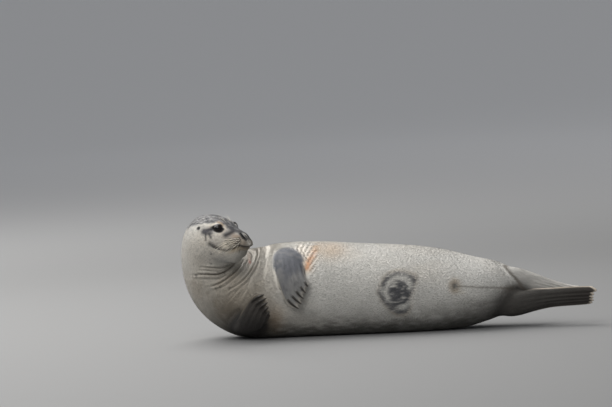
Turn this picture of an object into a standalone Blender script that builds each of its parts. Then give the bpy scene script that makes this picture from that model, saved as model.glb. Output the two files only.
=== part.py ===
"""A harbour seal (Phoca vitulina), life size, resting on its right side with its head raised.

The seal lies along X with its head at -X and its hind flippers at +X. Its belly faces -Y, its back
faces +Y, and +Z is up, so its left side is uppermost. The floor is z = 0.

The body is one skin of rings, swept from the rump to the nose through the named stations below, and
parted by thin plane cuts into rump, loins, belly, chest, shoulders, neck and head. The flippers, tail,
claws, eyes and lower jaw are solids of their own, cut where they meet the body.
"""

import math

import bmesh
import bpy
import numpy as np

GAP = 0.0003  # clearance between neighbouring solids
AROUND = 38  # points in each ring of the body
FLOOR_SOFTNESS = 0.012  # height over which the flank rounds into its flat on the floor
MIDDLE = np.array((0.01217, -0.04362, 0))  # the middle of the seal's base, which becomes the origin

# Where the body's rings lie, from the rump to the nose. Each station holds the ring's centre, the way
# the body runs there, the way its back faces, and its reach towards back, belly, left and right.
STATIONS = (
    ("rump_tip", (0.560, 0.030, 0.126), (-1, 0, 0), (0, 1, 0), (0.012, 0.012, 0.014, 0.014)),
    ("rump", (0.530, 0.022, 0.130), (-1, 0, 0), (0, 1, 0), (0.048, 0.048, 0.050, 0.048)),
    ("pelvis", (0.485, 0.012, 0.134), (-1, 0, 0), (0, 1, 0), (0.080, 0.078, 0.082, 0.076)),
    ("hips", (0.430, 0.004, 0.137), (-1, 0, 0), (0, 1, 0), (0.104, 0.104, 0.108, 0.099)),
    ("loins", (0.350, 0.000, 0.139), (-1, 0, 0), (0, 1, 0), (0.130, 0.132, 0.128, 0.125)),
    ("flank", (0.240, 0.000, 0.143), (-1, 0, 0), (0, 1, 0), (0.156, 0.158, 0.155, 0.156)),
    ("belly", (0.100, 0.000, 0.150), (-1, 0, 0), (0, 1, 0), (0.176, 0.180, 0.173, 0.175)),
    ("midriff", (-0.080, 0.000, 0.157), (-1, 0, 0), (0, 1, 0), (0.186, 0.190, 0.181, 0.184)),
    ("ribs", (-0.240, 0.000, 0.163), (-1, 0, 0), (0, 1, 0), (0.188, 0.190, 0.189, 0.189)),
    ("chest", (-0.390, 0.000, 0.166), (-1, 0, 0), (0, 1, 0), (0.182, 0.186, 0.186, 0.188)),
    ("shoulders", (-0.505, -0.010, 0.174), (-0.94, -0.09, 0.30), (0, 1, 0), (0.168, 0.176, 0.175, 0.180)),
    ("neck_root", (-0.580, -0.035, 0.203), (-0.77, -0.26, 0.58), (-0.22, 0.95, 0.15),
     (0.152, 0.152, 0.164, 0.160)),
    ("lower_neck", (-0.622, -0.065, 0.249), (-0.46, -0.39, 0.80), (-0.50, 0.78, 0.30),
     (0.140, 0.126, 0.138, 0.141)),
    ("mid_neck", (-0.642, -0.093, 0.296), (-0.08, -0.47, 0.88), (-0.74, 0.58, 0.34),
     (0.128, 0.104, 0.112, 0.122)),
    ("nape", (-0.650, -0.120, 0.337), (0.26, -0.54, 0.80), (-0.76, 0.34, 0.56), (0.120, 0.093, 0.103, 0.107)),
    ("occiput", (-0.646, -0.142, 0.366), (0.47, -0.57, 0.67), (-0.66, 0.22, 0.72),
     (0.116, 0.091, 0.097, 0.099)),
    ("ears", (-0.632, -0.160, 0.382), (0.61, -0.57, 0.55), (-0.50, 0.16, 0.85), (0.112, 0.098, 0.092, 0.092)),
    ("cheeks", (-0.608, -0.178, 0.389), (0.70, -0.57, 0.43), (-0.36, 0.12, 0.93),
     (0.102, 0.099, 0.087, 0.087)),
    ("eyes", (-0.584, -0.196, 0.388), (0.76, -0.57, 0.31), (-0.25, 0.10, 0.97), (0.086, 0.094, 0.074, 0.074)),
    ("stop", (-0.563, -0.211, 0.384), (0.79, -0.57, 0.20), (-0.16, 0.06, 0.98), (0.067, 0.081, 0.058, 0.058)),
    ("bridge", (-0.546, -0.223, 0.379), (0.81, -0.57, 0.10), (-0.08, 0.03, 1), (0.0505, 0.063, 0.046, 0.046)),
    ("whisker_pads", (-0.530, -0.234, 0.374), (0.82, -0.57, 0.04), (0, 0, 1), (0.042, 0.047, 0.040, 0.040)),
    ("lips", (-0.518, -0.2425, 0.369), (0.82, -0.57, 0), (0, 0, 1), (0.029, 0.0225, 0.034, 0.034)),
    ("nose", (-0.5085, -0.2490, 0.366), (0.82, -0.57, 0), (0, 0, 1), (0.019, 0.0165, 0.025, 0.025)),
    ("nose_tip", (-0.5045, -0.2518, 0.366), (0.82, -0.57, 0), (0, 0, 1), (0.008, 0.007, 0.009, 0.009)),
)


def along(name):
    """Distance along the body's centre line from the rump to a named station."""
    return STATION_S[[station[0] for station in STATIONS].index(name)]


def unit(vectors):
    vectors = np.asarray(vectors, float)
    return vectors / np.linalg.norm(vectors, axis=-1, keepdims=True)


def smooth_through(knots, values, s):
    """Natural cubic spline through the values at the knots: continuous in curvature."""
    step = np.diff(knots)
    rows = len(knots)
    slope = np.diff(values, axis=0) / step[:, None]
    system = np.eye(rows)
    right = np.zeros_like(values)
    for i in range(1, rows - 1):
        system[i, i - 1 : i + 2] = step[i - 1], 2 * (step[i - 1] + step[i]), step[i]
        right[i] = 6 * (slope[i] - slope[i - 1])
    curvature = np.linalg.solve(system, right)
    i = np.clip(np.searchsorted(knots, s) - 1, 0, rows - 2)
    after, before, width = (knots[i + 1] - s)[:, None], (s - knots[i])[:, None], step[i][:, None]
    return (
        (curvature[i] * after**3 + curvature[i + 1] * before**3) / (6 * width)
        + (values[i] / width - curvature[i] * width / 6) * after
        + (values[i + 1] / width - curvature[i + 1] * width / 6) * before
    )


def steady_through(knots, values, s):
    """Monotone cubic through the values at the knots: never overshoots, so straight stays straight."""
    step = np.diff(knots)[:, None]
    slope = np.diff(values, axis=0) / step
    product = slope[:-1] * slope[1:]
    weight_a, weight_b = 2 * step[1:] + step[:-1], step[1:] + 2 * step[:-1]
    with np.errstate(divide="ignore", invalid="ignore"):
        mean = (weight_a + weight_b) / (weight_a / slope[:-1] + weight_b / slope[1:])
    tangent = np.vstack([slope[:1], np.where(product > 0, mean, 0), slope[-1:]])
    i = np.clip(np.searchsorted(knots, s) - 1, 0, len(knots) - 2)
    t = ((s - knots[i]) / step[i, 0])[:, None]
    return (
        (2 * t**3 - 3 * t**2 + 1) * values[i]
        + (t**3 - 2 * t**2 + t) * step[i] * tangent[i]
        + (3 * t**2 - 2 * t**3) * values[i + 1]
        + (t**3 - t**2) * step[i] * tangent[i + 1]
    )


CENTRES = np.array([station[1] for station in STATIONS], float)
FORWARDS = unit([station[2] for station in STATIONS])
DORSALS = unit([station[3] for station in STATIONS])
REACHES = np.array([station[4] for station in STATIONS], float)
STATION_S = np.concatenate([[0], np.cumsum(np.linalg.norm(np.diff(CENTRES, axis=0), axis=1))])

# The head's own frame: its origin is the nose tip. Places on the head are (back, left, up) in metres.
NOSE = np.array((-0.509, -0.2485, 0.402))
HEAD_FORWARD = unit((0.82, -0.57, 0))
HEAD_LEFT = unit((0.57, 0.82, 0))
HEAD_UP = np.array((0, 0, 1.0))


def head_point(back, left, up):
    return NOSE - back * HEAD_FORWARD + left * HEAD_LEFT + up * HEAD_UP


def on_head(points):
    offset = points - NOSE
    return np.stack([-offset @ HEAD_FORWARD, offset @ HEAD_LEFT, offset @ HEAD_UP], axis=-1)


# Swellings and hollows of the head, the same on both sides: place (back, side, up), spread, height.
EYE = (0.102, 0.046, 0.0285)
EYE_RADIUS = 0.0195
HEAD_FEATURES = (
    ((0.030, 0.030, -0.026), (0.024, 0.022, 0.021), 0.0085),  # whisker pads
    ((0.014, 0.0135, 0.000), (0.013, 0.010, 0.012), 0.0040),  # wings of the nostrils
    ((0.026, 0.000, -0.066), (0.022, 0.026, 0.016), 0.0035),  # chin
    ((0.104, 0.048, 0.050), (0.026, 0.020, 0.018), 0.0050),  # brows
    ((0.110, 0.066, -0.020), (0.040, 0.030, 0.034), 0.0050),  # cheeks
    ((0.062, 0.034, 0.010), (0.020, 0.014, 0.018), -0.0045),  # hollows before the eyes
    (EYE, (0.019, 0.030, 0.015), -0.0070),  # eye sockets
    ((0.075, 0.000, 0.044), (0.030, 0.014, 0.030), -0.0020),  # furrow between the eyes
)


def head_relief(points):
    """How far the head's surface stands out of its plain rings."""
    places = on_head(points)
    places[..., 1] = np.abs(places[..., 1])
    relief = np.zeros(points.shape[:-1])
    for centre, spread, height in HEAD_FEATURES:
        away = (places - centre) / spread
        relief += height * np.exp(-np.sum(away**2, axis=-1))
    return relief


def settle(points):
    """Lets the flank lie flat where it would sink into the floor."""
    z, h = points[..., 2], FLOOR_SOFTNESS
    rounded = np.where(z < -h, 0, (z + h) ** 2 / (4 * h))
    settled = points.copy()
    settled[..., 2] = np.where(z < h, rounded, z)
    return settled


def body_rings(s, around=AROUND, grow=0.0):
    """Rings of body surface at distances s: points[ring, place], running from the back over the left."""
    centre = smooth_through(STATION_S, CENTRES, s)
    reach = smooth_through(STATION_S, REACHES, s) + grow
    forward = unit(steady_through(STATION_S, FORWARDS, s))
    dorsal = steady_through(STATION_S, DORSALS, s)
    dorsal = unit(dorsal - np.sum(dorsal * forward, axis=1, keepdims=True) * forward)
    left = np.cross(dorsal, forward)
    angle = np.arange(around) * 2 * math.pi / around
    up_part, left_part = np.cos(angle), np.sin(angle)
    up_reach = np.where(up_part > 0, reach[:, :1], reach[:, 1:2]) * up_part
    left_reach = np.where(left_part > 0, reach[:, 2:3], reach[:, 3:4]) * left_part
    out = up_reach[..., None] * dorsal[:, None] + left_reach[..., None] * left[:, None]
    points = centre[:, None] + out
    points = points + unit(out) * head_relief(points)[..., None]
    return settle(points), forward


def material(name, colour, roughness):
    made = bpy.data.materials.new(name)
    made.use_nodes = True
    shader = made.node_tree.nodes["Principled BSDF"]
    shader.inputs["Base Color"].default_value = (*colour, 1)
    shader.inputs["Roughness"].default_value = roughness
    shader.inputs["Metallic"].default_value = 0
    return made


def solid(name, points, faces, finish, cutter=False):
    """A closed mesh object from points and faces, with its faces turned outwards."""
    mesh = bpy.data.meshes.new(name)
    mesh.from_pydata((np.asarray(points).reshape(-1, 3) - MIDDLE).tolist(), [], faces)
    shell = bmesh.new()
    shell.from_mesh(mesh)
    bmesh.ops.recalc_face_normals(shell, faces=shell.faces)
    shell.to_mesh(mesh)
    shell.free()
    mesh.shade_smooth()
    mesh.set_sharp_from_angle(angle=math.radians(50))
    made = bpy.data.objects.new(name, mesh)
    bpy.context.scene.collection.objects.link(made)
    if finish:
        mesh.materials.append(finish)
    if cutter:
        made.hide_render = True
        made.display_type = "WIRE"
    return made


def tube_faces(rings, around):
    """Quads between neighbouring rings, and one flat face over each open end."""
    faces = [
        [r * around + i, r * around + (i + 1) % around,
         (r + 1) * around + (i + 1) % around, (r + 1) * around + i]
        for r in range(rings - 1)
        for i in range(around)
    ]
    faces.append(list(range(around)))
    faces.append([(rings - 1) * around + i for i in range(around)])
    return faces


def cut(target, tool, operation="DIFFERENCE"):
    boolean = target.modifiers.new(f"{operation.lower()}_{tool.name}", "BOOLEAN")
    boolean.operation = operation
    boolean.solver = "EXACT"
    boolean.object = tool
    return boolean


# Lengths of the body between plane cuts: node, first and last place along the body, rings.
LENGTHS = (
    ("rump", along("rump_tip"), along("hips") + 0.010, 8),
    ("loins", along("hips") + 0.010, along("flank") + 0.080, 6),
    ("belly", along("flank") + 0.080, along("midriff") + 0.050, 6),
    ("chest", along("midriff") + 0.050, along("chest"), 7),
    ("shoulders", along("chest"), along("lower_neck"), 9),
    ("neck", along("lower_neck"), along("occiput"), 6),
    ("head", along("occiput"), along("nose_tip"), 22),
)


def ring_places(name, first, last, rings):
    """Where a length's rings stand; the head's draw together towards the nose."""
    share = np.linspace(0, 1, rings)
    if name == "head":
        share = 1 - (1 - share) ** 1.35
    return first + (last - first) * share


def body_length(name, length, finish):
    _, first, last, rings = length
    points, forward = body_rings(ring_places(*length))
    if first > STATION_S[0]:
        points[0] += forward[0] * GAP / 2
    if last < STATION_S[-1]:
        points[-1] -= forward[-1] * GAP / 2
    return solid(name, points, tube_faces(rings, AROUND), finish)


def whole_body(grow):
    """The body in one piece and a little larger, which trims what grows out of it."""
    s = np.unique(np.concatenate([ring_places(*length) for length in LENGTHS]).round(9))
    points, _ = body_rings(s, grow=grow)
    return solid("body_trim", points, tube_faces(len(s), AROUND), None, cutter=True)


# The mouth in the head's (back, up) plane: the lip line from the front to the corner, and the way the
# lower jaw parts from the cheek and throat.
LIP_LINE = (
    (0.000, -0.0440), (0.018, -0.0410), (0.034, -0.0455), (0.049, -0.0490), (0.066, -0.0520),
    (0.086, -0.0465), (0.104, -0.0395), (0.118, -0.0320),
)
JAW_EDGE = ((0.122, -0.036), (0.120, -0.052), (0.106, -0.076), (0.090, -0.098), (0.080, -0.160))
JAW_FRONT = -0.030
JAW_HALF_WIDTH = 0.120


def jaw_block(name, inset):
    """A block across the head that holds the lower jaw, its outline drawn in by inset."""
    outline = np.array(((JAW_FRONT, LIP_LINE[0][1]), *LIP_LINE, *JAW_EDGE, (JAW_FRONT, JAW_EDGE[-1][1])))
    before, after = np.roll(outline, 1, axis=0), np.roll(outline, -1, axis=0)
    tangent = unit(unit(after - outline) + unit(outline - before))
    outline = outline + inset * np.stack([tangent[:, 1], -tangent[:, 0]], axis=1)
    count = len(outline)
    points = [head_point(back, side * JAW_HALF_WIDTH, up) for side in (-1, 1) for back, up in outline]
    faces = [[i, (i + 1) % count, count + (i + 1) % count, count + i] for i in range(count)]
    faces += [list(range(count)), [count + i for i in range(count)]]
    return solid(name, points, faces, None, cutter=True)


# Flippers and tail. Each lies along a path from inside the body to its tips, with half-widths and
# half-thicknesses on the way; thumb is the way from the middle to the first digit, at root and at tip;
# web is how far the skin between the digits stands back from their tips, how sharply, and how blunt
# the digits end; fan is 1 where they are of one breadth, and more where the first is the broadest.
# claw is a claw's length, its radius, and how far it stands past the tip as a share of its length.
FORE_DIGITS = (0.000, -0.003, -0.009, -0.016, -0.026)  # how far each digit's tip stands from the first's
CURLED_DIGITS = (0.000, -0.001, -0.003, -0.007, -0.012)
HIND_DIGITS = (0.000, -0.011, -0.013, -0.012, -0.013)
LIMBS = {
    "foreflipper_left": {
        "path": ((-0.374, -0.045, 0.312), (-0.368, -0.117, 0.289), (-0.360, -0.164, 0.250),
                 (-0.349, -0.193, 0.208),
                 (-0.331, -0.208, 0.172), (-0.306, -0.210, 0.150)),
        "width": (0.056, 0.055, 0.053, 0.054, 0.056, 0.052),
        "thickness": (0.030, 0.026, 0.020, 0.014, 0.010, 0.007),
        "thumb": ((-1, 0, 0), (-0.62, 0, -0.78)),
        "back": 1,
        "digits": FORE_DIGITS,
        "web": (0.010, 2, 0.0),
        "fan": 1.0,
        "claw": (0.040, 0.0045, 0.10),
    },
    "foreflipper_right": {
        "path": ((-0.540, -0.085, 0.042), (-0.524, -0.142, 0.056), (-0.505, -0.186, 0.084),
                 (-0.488, -0.217, 0.112),
                 (-0.472, -0.233, 0.135), (-0.445, -0.243, 0.150)),
        "width": (0.050, 0.053, 0.052, 0.050, 0.047, 0.040),
        "thickness": (0.026, 0.024, 0.018, 0.013, 0.010, 0.007),
        "thumb": ((-0.99, 0.0, 0.10), (-0.49, 0.05, 0.87)),
        "back": -1,
        "digits": CURLED_DIGITS,
        "web": (0.010, 2, 0.0),
        "fan": 1.0,
        "claw": (0.040, 0.0045, 0.10),
    },
    "hindflipper_left": {
        "path": ((0.400, -0.005, 0.184), (0.465, -0.014, 0.182), (0.535, -0.020, 0.165),
                 (0.610, -0.024, 0.142),
                 (0.680, -0.026, 0.124), (0.750, -0.028, 0.112)),
        "width": (0.044, 0.048, 0.041, 0.032, 0.027, 0.025),
        "thickness": (0.038, 0.034, 0.022, 0.014, 0.010, 0.007),
        "thumb": ((0, 0, -1), (0, 0, -1)),
        "back": 1,
        "digits": HIND_DIGITS,
        "web": (0.008, 4, 0.36),
        "fan": 1.5,
        "claw": (0.014, 0.0016, -0.40),
    },
    "hindflipper_right": {
        "path": ((0.385, -0.020, 0.092), (0.460, -0.048, 0.087), (0.550, -0.071, 0.100),
                 (0.630, -0.077, 0.107),
                 (0.715, -0.078, 0.109), (0.790, -0.077, 0.109)),
        "width": (0.044, 0.050, 0.043, 0.037, 0.036, 0.033),
        "thickness": (0.042, 0.036, 0.023, 0.015, 0.011, 0.008),
        "thumb": ((0, 0, 1), (0, 0, 1)),
        "back": -1,
        "digits": HIND_DIGITS,
        "web": (0.008, 4, 0.36),
        "fan": 1.5,
        "claw": (0.014, 0.0016, -0.40),
    },
    "tail": {
        "path": ((0.490, 0.040, 0.135), (0.540, 0.056, 0.134), (0.585, 0.064, 0.132), (0.620, 0.066, 0.130)),
        "width": (0.026, 0.025, 0.021, 0.014),
        "thickness": (0.018, 0.015, 0.011, 0.006),
        "thumb": ((0, 0, 1), (0, 0, 1)),
        "back": -1,
        "digits": (0.0,),
        "web": (0.0, 2, 0.0),
        "fan": 1.0,
        "claw": None,
    },
}
EDGE_HALF_THICKNESS = 0.0010  # of a flipper's thin rim
DIGIT_RIDGE = 0.30  # how much of the thickness rises and falls over the digits
CUPPING = 0.004  # how far a flipper's edges bend towards its sole


def digit_places(limb):
    """Where each digit runs across the flipper, from 1 at the first digit's edge to -1 at the last's."""
    count = len(limb["digits"])
    return 1 - 2 * ((np.arange(count) + 0.5) / count) ** (1 / limb["fan"])


def limb_point(limb, across, share, side, grow=0.0):
    """Points of a flipper: across is 1 to -1 from first to last digit, share runs 0 to 1 from root to
    tip, and side is 1 on the back of the flipper, -1 on its sole and 0 between them."""
    across, share, side = np.broadcast_arrays(across, share, side)
    shape = across.shape
    across, share, side = (np.asarray(a, float).ravel() for a in (across, share, side))
    path = np.array(limb["path"], float)
    knots = np.concatenate([[0], np.cumsum(np.linalg.norm(np.diff(path, axis=0), axis=1))])
    count = len(limb["digits"])
    web_depth, sharpness, blunt = limb["web"]
    in_digits = count * np.clip((1 - across) / 2, 0, 1) ** limb["fan"]
    ends = np.repeat(np.arange(count) + 0.5, 2) + np.tile((-blunt, blunt), count)
    digit = np.interp(in_digits, ends, np.repeat(limb["digits"], 2))
    web = web_depth * np.abs(np.cos(math.pi * in_digits)) ** sharpness
    round_corner = 0.012 * np.abs(across) ** 6
    length = knots[-1] + digit - web - round_corner
    distance = share * length
    middle = smooth_through(knots, path, distance)
    step = 0.002
    heading = unit(smooth_through(knots, path, distance + step) - middle)
    blend = (distance / knots[-1])[:, None] ** 2
    root_thumb, tip_thumb = unit(limb["thumb"])
    thumb = root_thumb * (1 - blend) + tip_thumb * blend
    thumb = unit(thumb - np.sum(thumb * heading, axis=1, keepdims=True) * heading)
    outward = limb["back"] * np.cross(thumb, heading)
    sizes = np.array([limb["width"], limb["thickness"]]).T
    half_width, half_thickness = steady_through(knots, sizes, distance).T
    ridge = 1 + DIGIT_RIDGE * (share**2) * np.cos(2 * math.pi * in_digits - math.pi) * (count > 1)
    belly = np.sqrt(np.clip(1 - np.abs(across) ** 2.4, 0, 1)) * np.sqrt(np.clip(1 - share**8, 0, 1))
    thickness = EDGE_HALF_THICKNESS + (half_thickness - EDGE_HALF_THICKNESS) * ridge * belly
    points = middle + thumb * (across * (half_width + grow))[:, None]
    points += outward * (side * (thickness + grow) - CUPPING * across**2 * share)[:, None]
    points += heading * (grow * share)[:, None]
    return points.reshape(*shape, 3)


def limb_solid(name, limb, lanes, rows, finish, cutter=False, grow=0.0):
    """Two faces of lanes by rows points, joined round the rim and closed at root and tip."""
    across = np.cos(np.linspace(0, math.pi, lanes)) * 0.35 + np.linspace(1, -1, lanes) * 0.65
    rim = np.concatenate([across, across[::-1][1:-1]])
    side = np.concatenate([[0], np.ones(lanes - 2), [0], -np.ones(lanes - 2)])
    share = np.linspace(0, 1, rows)
    share = 1 - (1 - share) ** 1.25
    points = limb_point(limb, rim[None], share[:, None], side[None], grow)
    around = len(rim)
    faces = tube_faces(rows, around)[:-1]
    last = (rows - 1) * around
    faces += [
        [last + i, last + i + 1, last + (around - i - 1) % around, last + (around - i) % around]
        for i in range(lanes - 1)
    ]
    return solid(name, points, [list(dict.fromkeys(face)) for face in faces], finish, cutter)


CLAW_SIDES = 5
CLAW_RINGS = 4
CLAW_LIFT = 0.0045  # how far its middle stands off the back of the digit


def claws(limb_name, limb, finish, trim):
    """A curved cone lying on the back of each digit, its root inside the flesh, its tip at the edge."""
    length, radius, beyond = limb["claw"]
    reach = sum(np.linalg.norm(np.diff(np.array(limb["path"]), axis=0), axis=1))
    for number, across in enumerate(digit_places(limb), 1):
        t = np.linspace(0, 1, CLAW_RINGS)
        run = limb_point(limb, across, 1 - (1 - t) * length / reach, 0.0)
        back = limb_point(limb, across, 0.9, 1.0) - limb_point(limb, across, 0.9, -1.0)
        heading = unit(run[-1] - run[0])
        back = unit(back - back @ heading * heading)
        depth = (limb_point(limb, across, 1 - (1 - t) * length / reach, 1.0) - run) @ back
        rise = np.maximum(depth, radius * 0.5) - radius * 0.6 + CLAW_LIFT * np.sin(math.pi * t * 0.8)
        centre = run + rise[:, None] * back + heading * (beyond * length * t)[:, None]
        side = np.cross(heading, back)
        angle = np.arange(CLAW_SIDES) * 2 * math.pi / CLAW_SIDES + math.pi / 2
        girth = radius * ((1 - t) ** 0.6 * 0.84 + 0.16)
        section = np.cos(angle)[:, None] * side + 1.3 * np.sin(angle)[:, None] * back
        points = centre[:, None] + girth[:, None, None] * section[None]
        claw = solid(f"claw_{limb_name}_{number}", points, tube_faces(CLAW_RINGS, CLAW_SIDES), finish)
        cut(claw, trim)


def eyeball(name, side, finish, grow=0.0, cutter=False):
    mesh = bpy.data.meshes.new(name)
    ball = bmesh.new()
    bmesh.ops.create_uvsphere(ball, u_segments=14, v_segments=9, radius=EYE_RADIUS + grow)
    ball.to_mesh(mesh)
    ball.free()
    back, out, up = EYE
    made = bpy.data.objects.new(name, mesh)
    made.location = head_point(back, side * out, up) - MIDDLE
    mesh.shade_smooth()
    bpy.context.scene.collection.objects.link(made)
    if cutter:
        made.hide_render = True
        made.display_type = "WIRE"
    else:
        mesh.materials.append(finish)
    return made


def build():
    for old in list(bpy.data.objects):
        bpy.data.objects.remove(old)
    coat = material("pale_coat", (0.50, 0.46, 0.40), 0.75)
    dark_coat = material("dark_coat", (0.10, 0.10, 0.11), 0.60)
    horn = material("claw_horn", (0.03, 0.025, 0.02), 0.35)
    wet_eye = material("wet_eye", (0.008, 0.007, 0.007), 0.05)
    lengths = {length[0]: body_length(length[0], length, coat) for length in LENGTHS}

    jaw = body_length("lower_jaw", LENGTHS[-1], coat)
    cut(jaw, jaw_block("jaw_room", inset=GAP), "INTERSECT")
    cut(lengths["head"], jaw_block("jaw_cut", inset=0.0))
    for side, label in ((1, "left"), (-1, "right")):
        eyeball(f"eye_{label}", side, wet_eye)
        cut(lengths["head"], eyeball(f"socket_{label}", side, None, grow=GAP, cutter=True))

    body_trim = whole_body(GAP)
    for name, limb in LIMBS.items():
        lanes, rows = (15, 12) if name.startswith("fore") else (13, 11) if name.startswith("hind") else (6, 6)
        finish = coat if name == "tail" else dark_coat
        made = limb_solid(name, limb, lanes, rows, finish)
        cut(made, body_trim)
        if limb["claw"]:
            trim = limb_solid(f"{name}_trim", limb, lanes, rows, None, cutter=True, grow=GAP)
            claws(name, limb, horn, trim)


build()
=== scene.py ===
"""A harbour seal (Phoca vitulina), life size, at rest on its right side with its head raised.

The body is one swept surface. Rings of points stand across a centre line that runs from the rump to
the nose, and each ring is an oval given by its reach towards back, belly, left and right. Flippers and
tail are flat sweeps along paths of their own. Their union with the body, smoothed where they meet, is
the one skin. Folds, lids, lips and nostrils are small moves of that skin along its own normals, and
its markings are worked out at the same points. The coat is made of thin tufts that take their place,
lie and colour from the skin under them.

Lengths are metres. Places are given as in the solids' source, and move to the frame's origin, MIDDLE,
when a mesh is made. The head has its own frame of (back, left, up) from the nose.
"""

import math

import bmesh
import bpy
import numpy as np
from mathutils import Matrix, Vector


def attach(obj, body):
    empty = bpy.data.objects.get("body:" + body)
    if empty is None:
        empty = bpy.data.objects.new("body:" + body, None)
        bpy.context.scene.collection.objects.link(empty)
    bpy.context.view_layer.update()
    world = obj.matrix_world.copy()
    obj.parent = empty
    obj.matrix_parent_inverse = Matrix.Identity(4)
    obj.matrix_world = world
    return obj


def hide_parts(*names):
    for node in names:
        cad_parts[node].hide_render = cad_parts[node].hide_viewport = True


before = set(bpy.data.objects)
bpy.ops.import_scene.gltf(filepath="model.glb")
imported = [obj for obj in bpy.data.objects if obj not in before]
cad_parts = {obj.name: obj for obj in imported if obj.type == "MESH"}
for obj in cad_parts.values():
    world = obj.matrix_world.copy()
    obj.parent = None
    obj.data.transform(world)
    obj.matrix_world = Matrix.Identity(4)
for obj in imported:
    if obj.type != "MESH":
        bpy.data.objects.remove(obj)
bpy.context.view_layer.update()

# ---- Camera, floor and light --------------------------------------------------------------------
# A level floor, grey round the animal and painted paler farther off, where the paleness is painted
# light that stands in for light the lamps hardly throw so far. It lies under a large soft light from
# above and behind, as an overcast sky gives, with weaker light from the front. The camera stands
# far off and a little above the animal.
MIDDLE = np.array((0.01217, -0.04362, 0.0))
VIEW_RISE = math.radians(4.0)
VIEW_ROLL = math.radians(2.45)
VIEW_DISTANCE = 20.0
VIEW_WIDTH = 2.3094
SENSOR_WIDTH = 36.0
AIM = Vector((-0.3008, 0.0436, 0.4952))


def put(name, data):
    """An object with that name and data, linked to the scene."""
    made = bpy.data.objects.new(name, data)
    bpy.context.scene.collection.objects.link(made)
    return made


view_back = Vector((0, -math.cos(VIEW_RISE), math.sin(VIEW_RISE)))
lens = bpy.data.cameras.new("camera")
lens.sensor_width = SENSOR_WIDTH
lens.lens = SENSOR_WIDTH * VIEW_DISTANCE / VIEW_WIDTH
camera = put("camera", lens)
camera.location = AIM + view_back * VIEW_DISTANCE
turned = (-view_back).to_track_quat("-Z", "Y").to_matrix() @ Matrix.Rotation(-VIEW_ROLL, 3, "Z")
camera.rotation_euler = turned.to_euler()
bpy.context.scene.camera = camera
bpy.context.scene.view_settings.view_transform = "Standard"

FLOOR_HALF_WIDTH = 80.0
PALE_FROM, PALE_AT = 3.0, 12.5  # how far from the animal
NEAR_COLOUR, FAR_COLOUR = (0.168, 0.169, 0.170, 1), (0.86, 0.86, 0.87, 1)


def set_inputs(tree, node, inputs):
    """Sets inputs of a node, each to a number or to another node's output."""
    for socket, value in inputs.items():
        if isinstance(value, bpy.types.NodeSocket):
            tree.links.new(value, node.inputs[socket])
        else:
            node.inputs[socket].default_value = value


def add_node(tree, kind, inputs=None, **settings):
    """A new shader node with its settings and its inputs."""
    made = tree.nodes.new(kind)
    for field, value in settings.items():
        setattr(made, field, value)
    set_inputs(tree, made, inputs or {})
    return made


def finish(name):
    """A new material, its node tree and its shader."""
    made = bpy.data.materials.new(name)
    made.use_nodes = True
    return made, made.node_tree, made.node_tree.nodes["Principled BSDF"]


floor_finish, tree, shader = finish("pale_floor")
floor_place = add_node(tree, "ShaderNodeTexCoord")
distance = add_node(tree, "ShaderNodeVectorMath", {0: floor_place.outputs["Object"]}, operation="LENGTH")
# Painted light: the floor's colour grows paler with distance from the animal.
painted_far_light = add_node(tree, "ShaderNodeMapRange", {
    "Value": distance.outputs["Value"], "From Min": PALE_FROM, "From Max": PALE_AT,
}, interpolation_type="SMOOTHSTEP")
floor_tone = add_node(tree, "ShaderNodeMix", {
    "Factor": painted_far_light.outputs["Result"], "A": NEAR_COLOUR, "B": FAR_COLOUR}, data_type="RGBA")
set_inputs(tree, shader, {"Base Color": floor_tone.outputs["Result"], "Roughness": 0.85})
floor_corners = [
    (x * FLOOR_HALF_WIDTH, y * FLOOR_HALF_WIDTH, 0) for x, y in ((-1, -1), (1, -1), (1, 1), (-1, 1))]
floor_mesh = bpy.data.meshes.new("floor")
floor_mesh.from_pydata(floor_corners, [], [(0, 1, 2, 3)])
floor_mesh.materials.append(floor_finish)
floor = put("floor", floor_mesh)

world = bpy.data.worlds.new("studio")
world.use_nodes = True
sky = world.node_tree.nodes["Background"]
set_inputs(world.node_tree, sky, {"Color": (0.95, 0.97, 1.0, 1), "Strength": 0.30})
bpy.context.scene.world = world


def soft_light(name, place, target, size, power, colour):
    """A square panel of light at a place, turned to face a target."""
    panel = bpy.data.lights.new(name, "AREA")
    panel.shape = "SQUARE"
    panel.size = size
    panel.energy = power
    panel.color = colour
    made = put(name, panel)
    made.location = place
    made.rotation_euler = (Vector(target) - Vector(place)).to_track_quat("-Z", "Y").to_euler()


soft_light("sky_light", (-2.6, 1.9, 4.4), (-0.1, 0, 0.2), 6.0, 620.0, (1.0, 0.985, 0.96))
soft_light("front_light", (-2.4, -3.6, 4.4), (-0.1, 0, 0.2), 4.0, 205.0, (1.0, 0.99, 0.97))

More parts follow.
